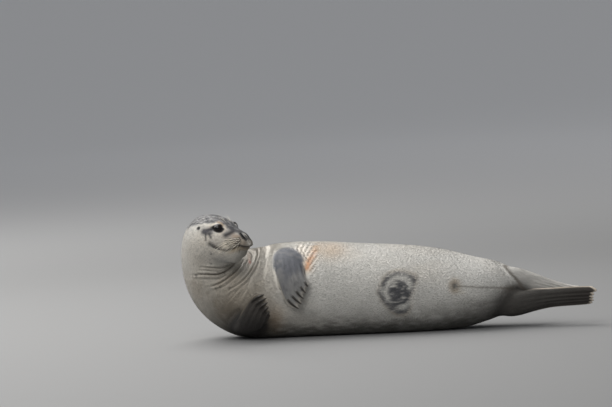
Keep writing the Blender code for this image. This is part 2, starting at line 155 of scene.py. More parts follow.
# ---- Skin ---------------------------------------------------------------------------------------
# One hide over the whole animal, from the nostrils to the toes, with blubber under it. It is swept
# from the same stations as the solids, drawn in by the depth of the coat, and parts only for the
# eyes and claws.
COAT_DEPTH = 0.0022
AROUND = 224  # points in a ring
STATIONS = (  # name, middle, the way to the nose, the way to the back, reach to back, belly, left and right
    ("rump_tip", (0.560, 0.030, 0.126), (-1, 0, 0), (0, 1, 0), (0.012, 0.012, 0.014, 0.014)),
    ("rump", (0.530, 0.022, 0.130), (-1, 0, 0), (0, 1, 0), (0.048, 0.048, 0.050, 0.048)),
    ("pelvis", (0.485, 0.012, 0.134), (-1, 0, 0), (0, 1, 0), (0.080, 0.078, 0.082, 0.076)),
    ("hips", (0.430, 0.004, 0.137), (-1, 0, 0), (0, 1, 0), (0.104, 0.104, 0.108, 0.099)),
    ("loins", (0.350, 0.000, 0.139), (-1, 0, 0), (0, 1, 0), (0.130, 0.132, 0.128, 0.125)),
    ("flank", (0.240, 0.000, 0.143), (-1, 0, 0), (0, 1, 0), (0.156, 0.158, 0.155, 0.156)),
    ("belly", (0.100, 0.000, 0.150), (-1, 0, 0), (0, 1, 0), (0.176, 0.180, 0.173, 0.175)),
    ("midriff", (-0.080, 0.000, 0.157), (-1, 0, 0), (0, 1, 0), (0.186, 0.190, 0.181, 0.184)),
    ("ribs", (-0.240, 0.000, 0.163), (-1, 0, 0), (0, 1, 0), (0.188, 0.190, 0.189, 0.189)),
    ("chest", (-0.390, 0.000, 0.166), (-1, 0, 0), (0, 1, 0), (0.182, 0.186, 0.186, 0.188)),
    ("shoulders", (-0.505, -0.010, 0.174), (-0.94, -0.09, 0.30), (0, 1, 0), (0.168, 0.176, 0.175, 0.180)),
    ("neck_root", (-0.580, -0.035, 0.203), (-0.77, -0.26, 0.58), (-0.22, 0.95, 0.15),
     (0.152, 0.152, 0.164, 0.160)),
    ("lower_neck", (-0.622, -0.065, 0.249), (-0.46, -0.39, 0.80), (-0.50, 0.78, 0.30),
     (0.140, 0.126, 0.138, 0.141)),
    ("mid_neck", (-0.642, -0.093, 0.296), (-0.08, -0.47, 0.88), (-0.74, 0.58, 0.34),
     (0.128, 0.104, 0.112, 0.122)),
    ("nape", (-0.650, -0.120, 0.337), (0.26, -0.54, 0.80), (-0.76, 0.34, 0.56), (0.120, 0.093, 0.103, 0.107)),
    ("occiput", (-0.646, -0.142, 0.366), (0.47, -0.57, 0.67), (-0.66, 0.22, 0.72),
     (0.116, 0.091, 0.097, 0.099)),
    ("ears", (-0.632, -0.160, 0.382), (0.61, -0.57, 0.55), (-0.50, 0.16, 0.85), (0.112, 0.098, 0.092, 0.092)),
    ("cheeks", (-0.608, -0.178, 0.389), (0.70, -0.57, 0.43), (-0.36, 0.12, 0.93),
     (0.102, 0.099, 0.087, 0.087)),
    ("eyes", (-0.584, -0.196, 0.388), (0.76, -0.57, 0.31), (-0.25, 0.10, 0.97), (0.086, 0.094, 0.074, 0.074)),
    ("stop", (-0.563, -0.211, 0.384), (0.79, -0.57, 0.20), (-0.16, 0.06, 0.98), (0.067, 0.081, 0.058, 0.058)),
    ("bridge", (-0.546, -0.223, 0.379), (0.81, -0.57, 0.10), (-0.08, 0.03, 1), (0.0505, 0.063, 0.046, 0.046)),
    ("whisker_pads", (-0.530, -0.234, 0.374), (0.82, -0.57, 0.04), (0, 0, 1), (0.042, 0.047, 0.040, 0.040)),
    ("lips", (-0.518, -0.2425, 0.369), (0.82, -0.57, 0), (0, 0, 1), (0.029, 0.0225, 0.034, 0.034)),
    ("nose", (-0.5085, -0.2490, 0.366), (0.82, -0.57, 0), (0, 0, 1), (0.019, 0.0165, 0.025, 0.025)),
    ("nose_tip", (-0.5045, -0.2518, 0.366), (0.82, -0.57, 0), (0, 0, 1), (0.008, 0.007, 0.009, 0.009)),
)


def unit(vectors):
    """Each vector divided by its own length."""
    vectors = np.asarray(vectors, float)
    return vectors / np.maximum(np.linalg.norm(vectors, axis=-1, keepdims=True), 1e-12)


def smooth_through(knots, values, s):
    """Natural cubic spline through the values at the knots: continuous in curvature."""
    step = np.diff(knots)
    rows = len(knots)
    slope = np.diff(values, axis=0) / step[:, None]
    system = np.eye(rows)
    right = np.zeros_like(values)
    for i in range(1, rows - 1):
        system[i, i - 1 : i + 2] = step[i - 1], 2 * (step[i - 1] + step[i]), step[i]
        right[i] = 6 * (slope[i] - slope[i - 1])
    curvature = np.linalg.solve(system, right)
    i = np.clip(np.searchsorted(knots, s) - 1, 0, rows - 2)
    after, before, width = (knots[i + 1] - s)[:, None], (s - knots[i])[:, None], step[i][:, None]
    return (
        (curvature[i] * after**3 + curvature[i + 1] * before**3) / (6 * width)
        + (values[i] / width - curvature[i] * width / 6) * after
        + (values[i + 1] / width - curvature[i + 1] * width / 6) * before
    )


def steady_through(knots, values, s):
    """Monotone cubic through the values at the knots: never overshoots, so straight stays straight."""
    step = np.diff(knots)[:, None]
    slope = np.diff(values, axis=0) / step
    product = slope[:-1] * slope[1:]
    weight_a, weight_b = 2 * step[1:] + step[:-1], step[1:] + 2 * step[:-1]
    with np.errstate(divide="ignore", invalid="ignore"):
        mean = (weight_a + weight_b) / (weight_a / slope[:-1] + weight_b / slope[1:])
    tangent = np.vstack([slope[:1], np.where(product > 0, mean, 0), slope[-1:]])
    i = np.clip(np.searchsorted(knots, s) - 1, 0, len(knots) - 2)
    t = ((s - knots[i]) / step[i, 0])[:, None]
    return (
        (2 * t**3 - 3 * t**2 + 1) * values[i]
        + (t**3 - 2 * t**2 + t) * step[i] * tangent[i]
        + (3 * t**2 - 2 * t**3) * values[i + 1]
        + (t**3 - t**2) * step[i] * tangent[i + 1]
    )


CENTRES = np.array([station[1] for station in STATIONS], float)
FORWARDS = unit([station[2] for station in STATIONS])
DORSALS = unit([station[3] for station in STATIONS])
REACHES = np.array([station[4] for station in STATIONS], float)
STATION_S = np.concatenate([[0], np.cumsum(np.linalg.norm(np.diff(CENTRES, axis=0), axis=1))])
PLACE_OF = {station[0]: s for station, s in zip(STATIONS, STATION_S)}

NOSE = np.array((-0.509, -0.2485, 0.402))
HEAD_FORWARD = unit((0.82, -0.57, 0))
HEAD_LEFT = unit((0.57, 0.82, 0))
HEAD_UP = np.array((0, 0, 1.0))


def head_point(back, left, up):
    """The point that stands at (back, left, up) in the head's own frame."""
    return NOSE - back * HEAD_FORWARD + left * HEAD_LEFT + up * HEAD_UP


def on_head(points):
    """The (back, left, up) places of points in the head's own frame."""
    offset = points - NOSE
    return np.stack([-offset @ HEAD_FORWARD, offset @ HEAD_LEFT, offset @ HEAD_UP], axis=-1)


EYE = (0.102, 0.046, 0.0285)
EYE_RADIUS = 0.0195
HEAD_FEATURES = (  # (back, out, up) of the middle, spread along the same three, height
    ((0.030, 0.030, -0.026), (0.024, 0.022, 0.021), 0.0085),  # whisker pads
    ((0.014, 0.0135, 0.000), (0.013, 0.010, 0.012), 0.0040),  # wings of the nostrils
    ((0.026, 0.000, -0.066), (0.022, 0.026, 0.016), 0.0035),  # chin
    ((0.104, 0.048, 0.050), (0.026, 0.020, 0.018), 0.0050),  # brows
    ((0.110, 0.066, -0.020), (0.040, 0.030, 0.034), 0.0050),  # cheeks
    ((0.062, 0.034, 0.010), (0.020, 0.014, 0.018), -0.0045),  # hollows before the eyes
    (EYE, (0.019, 0.030, 0.015), -0.0070),  # eye sockets
    ((0.075, 0.000, 0.044), (0.030, 0.014, 0.030), -0.0020),  # furrow between the eyes
)


def head_relief(points):
    """Sum of bell-shaped swellings and hollows, the same on both sides of the head."""
    places = on_head(points)
    places[..., 1] = np.abs(places[..., 1])
    relief = np.zeros(points.shape[:-1])
    for centre, spread, height in HEAD_FEATURES:
        relief += height * np.exp(-np.sum(((places - centre) / spread) ** 2, axis=-1))
    return relief


def rise(value, low, high):
    """0 below low, 1 above high, and a smooth S between them; high may be the lower number."""
    t = np.clip((value - low) / (high - low), 0, 1)
    return t * t * (3 - 2 * t)


def mottle(points, size, seed, octaves=3):
    """Smooth random blotches of about that size, from 0 to 1: blended lattice noise in octaves."""
    total, weight = np.zeros(points.shape[:-1]), 0.0
    for octave in range(octaves):
        where = points / size * 2**octave + 17.3 * seed + 5.1 * octave
        cell = np.floor(where).astype(np.int64)
        part = where - cell
        part = part * part * (3 - 2 * part)
        value = np.zeros(points.shape[:-1])
        for corner in np.ndindex(2, 2, 2):
            at = cell + corner
            mixed = (at[..., 0] * 73856093) ^ (at[..., 1] * 19349663) ^ (at[..., 2] * 83492791)
            mixed = (mixed ^ (mixed >> 13)) * 1274126177 & 0x7FFFFFFF
            mixed = (mixed ^ (mixed >> 16)) & 0xFFFF
            share = np.prod(np.where(corner, part, 1 - part), axis=-1)
            value += share * mixed / 0xFFFF
        total += value * 0.5**octave
        weight += 0.5**octave
    return total / weight


# Rings stand close together on the face and further apart on the trunk.
fine = np.linspace(STATION_S[0], STATION_S[-1], 6000)
spacing = np.interp(
    fine,
    (0, 1.02, 1.20, 1.33, PLACE_OF["lips"], PLACE_OF["nose_tip"]),
    (0.0078, 0.0078, 0.0046, 0.0024, 0.0019, 0.0007),
)
count = np.concatenate([[0], np.cumsum(np.diff(fine) / spacing[1:])])
RINGS = int(count[-1])
ring_s = np.interp(np.linspace(0, count[-1], RINGS), count, fine)

centre = smooth_through(STATION_S, CENTRES, ring_s)
reach = smooth_through(STATION_S, REACHES, ring_s) - COAT_DEPTH * np.interp(
    ring_s, (0, 0.05, 1.30, 1.40, STATION_S[-1]), (1, 1, 1, 0.5, 0.5)
)[:, None]
forward = unit(steady_through(STATION_S, FORWARDS, ring_s))
dorsal = steady_through(STATION_S, DORSALS, ring_s)
dorsal = unit(dorsal - np.sum(dorsal * forward, axis=1, keepdims=True) * forward)
leftward = np.cross(dorsal, forward)
angle = np.arange(AROUND) * 2 * math.pi / AROUND
up_part, left_part = np.cos(angle), np.sin(angle)
up_reach = np.where(up_part > 0, reach[:, :1], reach[:, 1:2]) * up_part
left_reach = np.where(left_part > 0, reach[:, 2:3], reach[:, 3:4]) * left_part
out = up_reach[..., None] * dorsal[:, None] + left_reach[..., None] * leftward[:, None]
body = centre[:, None] + out
body = body + unit(out) * head_relief(body)[..., None]


END_BENDS = (28, 50, 68, 80, 88)


def rounded_end(last, heart, onward, depth):
    """Rings that close an end as a quarter of an ellipse: each shrinks by a cosine and steps on by a
    sine of the same angle."""
    bend = np.radians(END_BENDS)[:, None, None]
    return heart + (last - heart) * np.cos(bend) + onward * depth * np.sin(bend)


tail_end = rounded_end(body[0], centre[0], -forward[0], 0.006)[::-1]
nose_end = rounded_end(body[-1], centre[-1], forward[-1], 0.0035)
body = np.concatenate([tail_end, body, nose_end])
ring_s, forward = (
    np.concatenate([field[:1]] * len(END_BENDS) + [field] + [field[-1:]] * len(END_BENDS))
    for field in (ring_s, forward)
)
RINGS = len(body)


def tube_corners(rings, around):
    """For every face corner of a tube of rings, its ring and its place in the ring, which runs one
    past the last, so that a map can end where it meets its start."""
    ring, place = np.meshgrid(np.arange(rings - 1), np.arange(around), indexing="ij")
    corner_ring = np.stack([ring, ring + 1, ring + 1, ring], axis=-1).reshape(-1, 4)
    corner_place = np.stack([place, place, place + 1, place + 1], axis=-1).reshape(-1, 4)
    return corner_ring, corner_place


def skin_part(name, points, ends, place, side, patch, region):
    """A closed tube with three maps: its place along and round the part, the number and side of the
    part, and its patch of the bake map. The ends are faces of the same points, (ring, place)."""
    rings, around = points.shape[:2]
    corner_ring, corner_place = tube_corners(rings, around)
    faces = (corner_ring * around + corner_place % around).tolist()
    faces += [[ring * around + spot % around for ring, spot in face] for face in ends]
    corner_ring = np.concatenate([corner_ring.ravel(), [ring for face in ends for ring, _ in face]])
    corner_place = np.concatenate([corner_place.ravel(), [spot for face in ends for _, spot in face]])
    mesh = bpy.data.meshes.new(name)
    mesh.from_pydata(points.reshape(-1, 3).tolist(), [], faces)
    along, across = place
    left, bottom, width, height = patch
    maps = {
        "place": np.stack([along[corner_ring], across[corner_place]], axis=-1),
        "region": np.stack([np.full(len(corner_ring), float(region)), side[corner_place % around]], axis=-1),
        "OFBake": np.stack([
            left + width * corner_place / around, bottom + height * corner_ring / (rings - 1)
        ], axis=-1),
    }
    for title, values in maps.items():
        mesh.uv_layers.new(name=title).data.foreach_set("uv", values.astype(np.float32).ravel())
    return put(name, mesh)


ends = [[(0, i) for i in range(AROUND)], [(RINGS - 1, i) for i in range(AROUND)][::-1]]
around_body = np.arange(AROUND + 1) * 2 * math.pi / AROUND
skin = skin_part(
    "skin", body, ends, (ring_s, around_body), np.zeros(AROUND), (0.005, 0.005, 0.690, 0.990), 0
)

# Flippers and tail. Each lies along a path from inside the body to its tips, with half-widths and
# half-thicknesses on the way; thumb is the way from the middle to the first digit, at root and at tip;
# digits is how far each one's tip stands from the first's; web is how far the skin between them stands
# back, how sharply, and how blunt they end; fan is 1 where they are of one breadth, and more where the
# first is the broadest. claw is a claw's length, its radius, and how far it stands past the tip as a
# share of its length.
FORE = {"web": (0.010, 2, 0.0), "fan": 1.0, "claw": (0.040, 0.0045, 0.10)}
HIND = {
    "digits": (0.000, -0.011, -0.013, -0.012, -0.013),
    "web": (0.008, 4, 0.36), "fan": 1.5, "claw": (0.014, 0.0016, -0.40),
}
LIMBS = {
    "foreflipper_left": {
        "path": ((-0.374, -0.045, 0.312), (-0.368, -0.117, 0.289), (-0.360, -0.164, 0.250),
                 (-0.349, -0.193, 0.208), (-0.331, -0.208, 0.172), (-0.306, -0.210, 0.150)),
        "width": (0.056, 0.055, 0.053, 0.054, 0.056, 0.052),
        "thickness": (0.030, 0.026, 0.020, 0.014, 0.010, 0.007),
        "thumb": ((-1, 0, 0), (-0.62, 0, -0.78)),
        "back": 1,
        "digits": (0.000, -0.003, -0.009, -0.016, -0.026),
        **FORE,
    },
    "foreflipper_right": {
        "path": ((-0.540, -0.085, 0.042), (-0.524, -0.142, 0.056), (-0.505, -0.186, 0.084),
                 (-0.488, -0.217, 0.112), (-0.472, -0.233, 0.135), (-0.445, -0.243, 0.150)),
        "width": (0.050, 0.053, 0.052, 0.050, 0.047, 0.040),
        "thickness": (0.026, 0.024, 0.018, 0.013, 0.010, 0.007),
        "thumb": ((-0.99, 0.0, 0.10), (-0.49, 0.05, 0.87)),
        "back": -1,
        "digits": (0.000, -0.001, -0.003, -0.007, -0.012),
        **FORE,
    },
    "hindflipper_left": {
        "path": ((0.400, -0.005, 0.184), (0.465, -0.014, 0.182), (0.535, -0.020, 0.165),
                 (0.610, -0.024, 0.142), (0.680, -0.026, 0.124), (0.750, -0.028, 0.112)),
        "width": (0.044, 0.048, 0.041, 0.032, 0.027, 0.025),
        "thickness": (0.038, 0.034, 0.022, 0.014, 0.010, 0.007),
        "thumb": ((0, 0, -1), (0, 0, -1)),
        "back": 1,
        **HIND,
    },
    "hindflipper_right": {
        "path": ((0.385, -0.020, 0.092), (0.460, -0.048, 0.087), (0.550, -0.071, 0.100),
                 (0.630, -0.077, 0.107), (0.715, -0.078, 0.109), (0.790, -0.077, 0.109)),
        "width": (0.044, 0.050, 0.043, 0.037, 0.036, 0.033),
        "thickness": (0.042, 0.036, 0.023, 0.015, 0.011, 0.008),
        "thumb": ((0, 0, 1), (0, 0, 1)),
        "back": -1,
        **HIND,
    },
    "tail": {
        "path": ((0.490, 0.040, 0.135), (0.540, 0.056, 0.134), (0.585, 0.064, 0.132), (0.620, 0.066, 0.130)),
        "width": (0.026, 0.025, 0.021, 0.014),
        "thickness": (0.018, 0.015, 0.011, 0.006),
        "thumb": ((0, 0, 1), (0, 0, 1)),
        "back": -1,
        "digits": (0.0,),
        "web": (0.0, 2, 0.0), "fan": 1.0, "claw": None,
    },
}
EDGE_HALF_THICKNESS = 0.0010  # of a flipper's thin rim
DIGIT_RIDGE = 0.22  # how much of the thickness rises and falls over the digits
CUPPING = 0.004  # how far a flipper's edges bend towards its sole


def digit_places(limb):
    """Where each digit runs across the flipper, from 1 at the first digit's edge to -1 at the last's."""
    count = len(limb["digits"])
    return 1 - 2 * ((np.arange(count) + 0.5) / count) ** (1 / limb["fan"])


def limb_point(limb, across, share, side, grow=0.0):
    """Points of a flipper: across is 1 to -1 from first to last digit, share runs 0 to 1 from root to
    tip, and side is 1 on the back of the flipper, -1 on its sole and 0 between them."""
    across, share, side = np.broadcast_arrays(across, share, side)
    shape = across.shape
    across, share, side = (np.asarray(a, float).ravel() for a in (across, share, side))
    path = np.array(limb["path"], float)
    knots = np.concatenate([[0], np.cumsum(np.linalg.norm(np.diff(path, axis=0), axis=1))])
    count = len(limb["digits"])
    web_depth, sharpness, blunt = limb["web"]
    in_digits = count * np.clip((1 - across) / 2, 0, 1) ** limb["fan"]
    ends = np.repeat(np.arange(count) + 0.5, 2) + np.tile((-blunt, blunt), count)
    digit = np.interp(in_digits, ends, np.repeat(limb["digits"], 2))
    web = web_depth * np.abs(np.cos(math.pi * in_digits)) ** sharpness
    round_corner = 0.012 * np.abs(across) ** 6
    length = knots[-1] + digit - web - round_corner
    distance = share * length
    middle = smooth_through(knots, path, distance)
    step = 0.002
    heading = unit(smooth_through(knots, path, distance + step) - middle)
    blend = (distance / knots[-1])[:, None] ** 2
    root_thumb, tip_thumb = unit(limb["thumb"])
    thumb = root_thumb * (1 - blend) + tip_thumb * blend
    thumb = unit(thumb - np.sum(thumb * heading, axis=1, keepdims=True) * heading)
    outward = limb["back"] * np.cross(thumb, heading)
    sizes = np.array([limb["width"], limb["thickness"]]).T
    half_width, half_thickness = steady_through(knots, sizes, distance).T
    ridge = 1 + DIGIT_RIDGE * (share**3) * np.cos(2 * math.pi * in_digits - math.pi) * (count > 1)
    belly = np.sqrt(np.clip(1 - np.abs(across) ** 2.4, 0, 1)) * np.sqrt(np.clip(1 - share**8, 0, 1))
    thickness = EDGE_HALF_THICKNESS + (half_thickness - EDGE_HALF_THICKNESS) * ridge * belly
    points = middle + thumb * (across * (half_width + grow))[:, None]
    points += outward * (side * (thickness + grow) - CUPPING * across**2 * share)[:, None]
    points += heading * (grow * share)[:, None]
    return points.reshape(*shape, 3)


LIMB_COAT_DEPTH = 0.0005
limb_parts = []
for region, (name, limb) in enumerate(LIMBS.items(), 1):
    lanes, rows = (46, 64) if name.startswith("fore") else (36, 72) if name.startswith("hind") else (16, 26)
    phase = np.arange(2 * lanes) * math.pi / lanes
    across = 0.35 * np.cos(phase) + 0.65 * (2 * np.abs(phase / math.pi - 1) - 1)
    side = limb["back"] * np.clip(3.0 * np.sin(phase), -1, 1)
    share = 1 - (1 - np.linspace(0, 1, rows)) ** 1.15
    points = limb_point(limb, across, share[:, None], side, grow=-LIMB_COAT_DEPTH)
    near_tip, tip = limb_point(limb, across, np.array([[0.996], [1.0]]), 0.0)
    rim = tip + (tip - near_tip) + 0.5 * (points[-1] - tip)
    points = np.concatenate([points, rim[None]])
    last = len(points) - 1
    ends = []
    for ring, order in ((0, 1), (last, -1)):
        for i in range(lanes):
            face = dict.fromkeys([i, i + 1, 2 * lanes - i - 1, (2 * lanes - i) % (2 * lanes)])
            ends.append([(ring, spot) for spot in list(face)[::order]])
    patch = (0.705, 0.005 + 0.199 * (region - 1), 0.290, 0.189)
    places = (np.append(share, 1.0), np.append(across, across[0]))
    limb_parts.append(skin_part(f"skin_{name}", points, ends, places, side, patch, region))

for part in limb_parts:
    union = skin.modifiers.new(part.name, "BOOLEAN")
    union.operation, union.solver, union.object = "UNION", "EXACT", part
depsgraph = bpy.context.evaluated_depsgraph_get()
joined = bpy.data.meshes.new_from_object(
    skin.evaluated_get(depsgraph), preserve_all_data_layers=True, depsgraph=depsgraph
)
skin.modifiers.clear()
skin.data = joined
joined.name = "skin"
for part in limb_parts:
    bpy.data.objects.remove(part)


def mesh_array(items, field, width, kind=float):
    """One field of every vertex, edge, corner or face of a mesh, as an array."""
    values = np.empty(len(items) * width, dtype=kind)
    items.foreach_get(field, values)
    return values.reshape(-1, width) if width > 1 else values


def skin_arrays(mesh):
    """The skin's points and edges, each point's place along and round its part, the number and side
    of its part, and where two parts meet, how far down the limb that is, elsewhere -1."""
    corner_vertex = mesh_array(mesh.loops, "vertex_index", 1, np.int32)
    corner_region = mesh_array(mesh.uv_layers["region"].data, "uv", 2)
    points = mesh_array(mesh.vertices, "co", 3)
    place, region, side = np.zeros((len(points), 2)), np.zeros(len(points), int), np.zeros(len(points))
    corner_place = mesh_array(mesh.uv_layers["place"].data, "uv", 2)
    place[corner_vertex] = corner_place
    region[corner_vertex] = np.round(corner_region[:, 0])
    side[corner_vertex] = corner_region[:, 1]
    lowest, highest = np.full(len(points), 99.0), np.full(len(points), -99.0)
    np.minimum.at(lowest, corner_vertex, corner_region[:, 0])
    np.maximum.at(highest, corner_vertex, corner_region[:, 0])
    limb_corner = corner_region[:, 0] > 0.5
    limb_share = np.zeros(len(points))
    limb_share[corner_vertex[limb_corner]] = corner_place[limb_corner, 0]
    meets = highest - lowest > 0.5
    seam_share = np.where(meets, limb_share, -1)
    region[meets] = np.round(highest[meets])
    return points, mesh_array(mesh.edges, "vertices", 2, np.int32), place, region, side, seam_share


def distance_to(points, targets, within):
    """The distance from each point to the nearest target, or within where it is further than that."""
    nearest = np.full(len(points), within)
    for target_group in np.array_split(targets, max(1, len(targets) // 60)):
        low, high = target_group.min(axis=0) - within, target_group.max(axis=0) + within
        close = np.flatnonzero(np.all((points > low) & (points < high), axis=1))
        gap = np.linalg.norm(points[close, None] - target_group[None], axis=2).min(axis=1)
        nearest[close] = np.minimum(nearest[close], gap)
    return nearest


def relaxed(points, edges, weight, rounds):
    """Moves each point part of the way to the mean of its neighbours, again and again, by its weight."""
    degree = np.bincount(edges.ravel(), minlength=len(points))
    for _ in range(rounds):
        total = np.stack([
            np.bincount(edges[:, 0], points[edges[:, 1], axis], len(points))
            + np.bincount(edges[:, 1], points[edges[:, 0], axis], len(points))
            for axis in range(3)
        ], axis=1)
        points = points + weight[:, None] * 0.5 * (total / degree[:, None] - points)
    return points


def finer_faces(mesh, chosen):
    """Divides the chosen faces in four, so that a small form has enough of them."""
    work = bmesh.new()
    work.from_mesh(mesh)
    work.faces.ensure_lookup_table()
    edges = {edge for number in chosen for edge in work.faces[number].edges}
    bmesh.ops.subdivide_edges(work, edges=list(edges), cuts=1, use_grid_fill=True)
    work.to_mesh(mesh)
    work.free()


EYE_OPENING = (0.0175, 0.0128)
points = skin_arrays(joined)[0]
face_centres = on_head(mesh_array(joined.polygons, "center", 3))
face_centres[:, 1] = np.abs(face_centres[:, 1])
about_eye = (face_centres - (0.098, 0.063, 0.032)) / (0.030, 0.022, 0.024)
about_nose = (face_centres - (0.008, 0.010, -0.012)) / (0.026, 0.024, 0.030)
finer = np.minimum(np.sum(about_eye**2, axis=1), np.sum(about_nose**2, axis=1)) < 1
finer_faces(joined, np.flatnonzero(finer))

ROOT_BLEND, EDGE_BLEND = 0.022, 0.006  # how far the skin flows at a limb's root and along its edges
ROOT_SHARE = 0.42  # how far down a limb its root goes
points, edges, place, region, side, seam_share = skin_arrays(joined)
in_order = np.argsort(points[:, 0])
root_seam = in_order[(seam_share[in_order] > -0.5) & (seam_share[in_order] < ROOT_SHARE)]
edge_seam = in_order[seam_share[in_order] >= ROOT_SHARE]
root_distance = distance_to(points, points[root_seam], 3 * ROOT_BLEND)
edge_distance = distance_to(points, points[edge_seam], 3 * EDGE_BLEND)
root_of_limb = {
    number: distance_to(points, points[root_seam[region[root_seam] == number]], 0.08)
    for number in range(1, len(LIMBS) + 1)
}
flow = np.maximum(np.exp(-((root_distance / ROOT_BLEND) ** 2)), np.exp(-((edge_distance / EDGE_BLEND) ** 2)))
points = relaxed(points, edges, flow, 70)


def place_points(mesh, points):
    """Puts the points into the mesh and gives back the normals there."""
    mesh.vertices.foreach_set("co", points.astype(np.float32).ravel())
    mesh.update()
    normals = np.empty(len(points) * 3)
    mesh.vertex_normals.foreach_get("vector", normals)
    return normals.reshape(-1, 3)


def near_line(line, within=0.03):
    """Distance from the skin's points to a line over it, and how far along the line they lie, from 0
    to 1. Steps along the skin's normal hardly count, so the line only has to lie near it."""
    distance, share = np.full(len(points), 9.0), np.zeros(len(points))
    low, high = line.min(axis=0) - within, line.max(axis=0) + within
    inside = np.flatnonzero(np.all((points > low) & (points < high), axis=1))
    here, upright = points[inside], normals[inside]
    best, best_share = np.full(len(here), 9.0), np.zeros(len(here))
    for i, (start, end) in enumerate(zip(line[:-1], line[1:])):
        run = end - start
        t = np.clip((here - start) @ run / (run @ run), 0, 1)
        away = here - start - t[:, None] * run
        away = away - 0.9 * np.sum(away * upright, axis=1, keepdims=True) * upright
        length = np.linalg.norm(away, axis=1)
        closer = length < best
        best[closer] = length[closer]
        best_share[closer] = (i + t[closer]) / (len(line) - 1)
    distance[inside], share[inside] = best, best_share
    return distance, share


def belly_line(path):
    """near_line for a smooth line through (x, z) places, laid on the nearest surface that faces the
    belly side."""
    path = np.array(path, float)
    knots = np.concatenate([[0], np.cumsum(np.linalg.norm(np.diff(path, axis=0), axis=1))])
    line = smooth_through(knots, path, np.linspace(0, knots[-1], 6 * len(knots)))
    facing = points[normals[:, 1] < -0.15]
    near = np.argmin((facing[:, 0] - line[:, :1]) ** 2 + (facing[:, 2] - line[:, 1:]) ** 2, axis=1)
    return near_line(np.stack([line[:, 0], facing[near, 1], line[:, 1]], axis=1))


def bell(distance, width):
    """1 at no distance, falling smoothly to nothing over about twice the width."""
    return np.exp(-((distance / width) ** 2))


normals = place_points(joined, points)
along = np.where(region == 0, place[:, 0], -1.0)
places = on_head(points)
on_face = (along > PLACE_OF["ears"] - 0.01) & (places[:, 0] < 0.15)

# The lips meet along a line that rises to the corner of the mouth. Points near it are drawn to it, so
# that the groove has enough of them.
MOUTH = np.array((  # (back, up)
    (-0.020, -0.0500), (-0.004, -0.0465), (0.006, -0.0415), (0.018, -0.0400), (0.034, -0.0450),
    (0.049, -0.0490), (0.066, -0.0530), (0.086, -0.0470), (0.104, -0.0395), (0.118, -0.0320),
    (0.160, -0.0200),
))
MOUTH_CORNER, LIP_PULL = 0.116, 0.007
lip_height = steady_through(MOUTH[:, 0], MOUTH[:, 1:], np.clip(places[:, 0], -0.019, 0.159))[:, 0]
above_lip = places[:, 2] - lip_height
mouth_share = rise(places[:, 0], MOUTH_CORNER + 0.004, MOUTH_CORNER - 0.016) * on_face
drawn = np.sign(above_lip) * LIP_PULL * np.clip(np.abs(above_lip) / LIP_PULL, 0, 1) ** 1.7
points[:, 2] += np.where(np.abs(above_lip) < LIP_PULL, drawn - above_lip, 0) * mouth_share
under_lip = rise(above_lip, 0.000, -0.004) * rise(above_lip, -0.040, -0.006) * on_face
under_lip = under_lip * rise(places[:, 0], 0.050, 0.012)
points -= (0.0065 * under_lip)[:, None] * HEAD_FORWARD
normals = place_points(joined, points)
places = on_head(points)
above_lip = places[:, 2] - lip_height
gape = np.interp(places[:, 0], (0.0, 0.044, 0.060), (1.0, 1.0, 0.3))
relief = -0.0095 * gape * mouth_share * bell(above_lip - 0.0006 * gape, 0.0010 + 0.0028 * gape)
relief += 0.0010 * mouth_share * bell(above_lip - 0.0045, 0.003)
relief -= 0.0014 * mouth_share * rise(above_lip, 0.0, -0.003) * rise(above_lip, -0.016, -0.004)

# Nostrils are two slits in a V, with a groove from them to the lip. An ear is a pit with a low rim.
NOSTRIL = ((0.022, 0.0165, 0.010), (0.016, 0.0175, 0.004), (0.011, 0.0165, -0.004), (0.006, 0.0130, -0.012))
EAR = (0.173, 0.080, 0.0345)
PHILTRUM = ((0.004, 0, -0.014), (-0.004, 0, -0.030), (0.000, 0, -0.049))


def face_path(path, mirror):
    """The points of a line on the face given as (back, out, up) places, on one side of the head."""
    return np.array([head_point(back, mirror * out, up) for back, out, up in path])


for mirror in (-1, 1):
    away, share = near_line(face_path(NOSTRIL, mirror))
    relief -= 0.0055 * bell(away, 0.0019) * rise(share, 0, 0.12) * rise(share, 1, 0.9)
    relief += 0.0010 * bell(away - 0.0048, 0.0020)
    ear = head_point(EAR[0], mirror * EAR[1], EAR[2])
    away, share = near_line(np.stack([ear, ear + 0.0005 * HEAD_FORWARD]))
    relief += 0.0009 * bell(away - 0.0082, 0.0030) - 0.0055 * bell(away, 0.0042)
away, share = near_line(face_path(PHILTRUM, 1))
relief -= 0.0016 * bell(away, 0.0016)

# The whisker pads carry rows of small follicles.
follicles = np.array([
    (0.013 + 0.0078 * number + 0.0030 * (row % 2), -0.007 - 0.0068 * row - 0.0006 * number)
    for row in range(5) for number in range(7 - abs(row - 2) // 2)
])
for back, up in follicles:
    away = np.linalg.norm(places[:, [0, 2]] - (back, up), axis=1)
    relief += 0.0008 * bell(away, 0.0024) * on_face

# Loose skin folds where the throat bends: path (x, z) on the belly side, width, depth.
FOLDS = (
    (((-0.691, 0.288), (-0.652, 0.284), (-0.613, 0.280), (-0.590, 0.285), (-0.570, 0.297), (-0.550, 0.320)),
     0.0034, 0.0034),
    (((-0.716, 0.258), (-0.672, 0.259), (-0.632, 0.257), (-0.604, 0.265), (-0.583, 0.277), (-0.560, 0.297),
      (-0.545, 0.314)), 0.0042, 0.0060),
    (((-0.653, 0.214), (-0.625, 0.222), (-0.600, 0.236), (-0.570, 0.257), (-0.546, 0.279), (-0.530, 0.300)),
     0.0038, 0.0046),
    (((-0.592, 0.197), (-0.548, 0.220), (-0.513, 0.254), (-0.490, 0.288), (-0.478, 0.320), (-0.477, 0.345)),
     0.0034, 0.0021),
)
heart = smooth_through(STATION_S, CENTRES, np.clip(along, 0, STATION_S[-1]))
girth = np.linalg.norm(points - heart, axis=1)
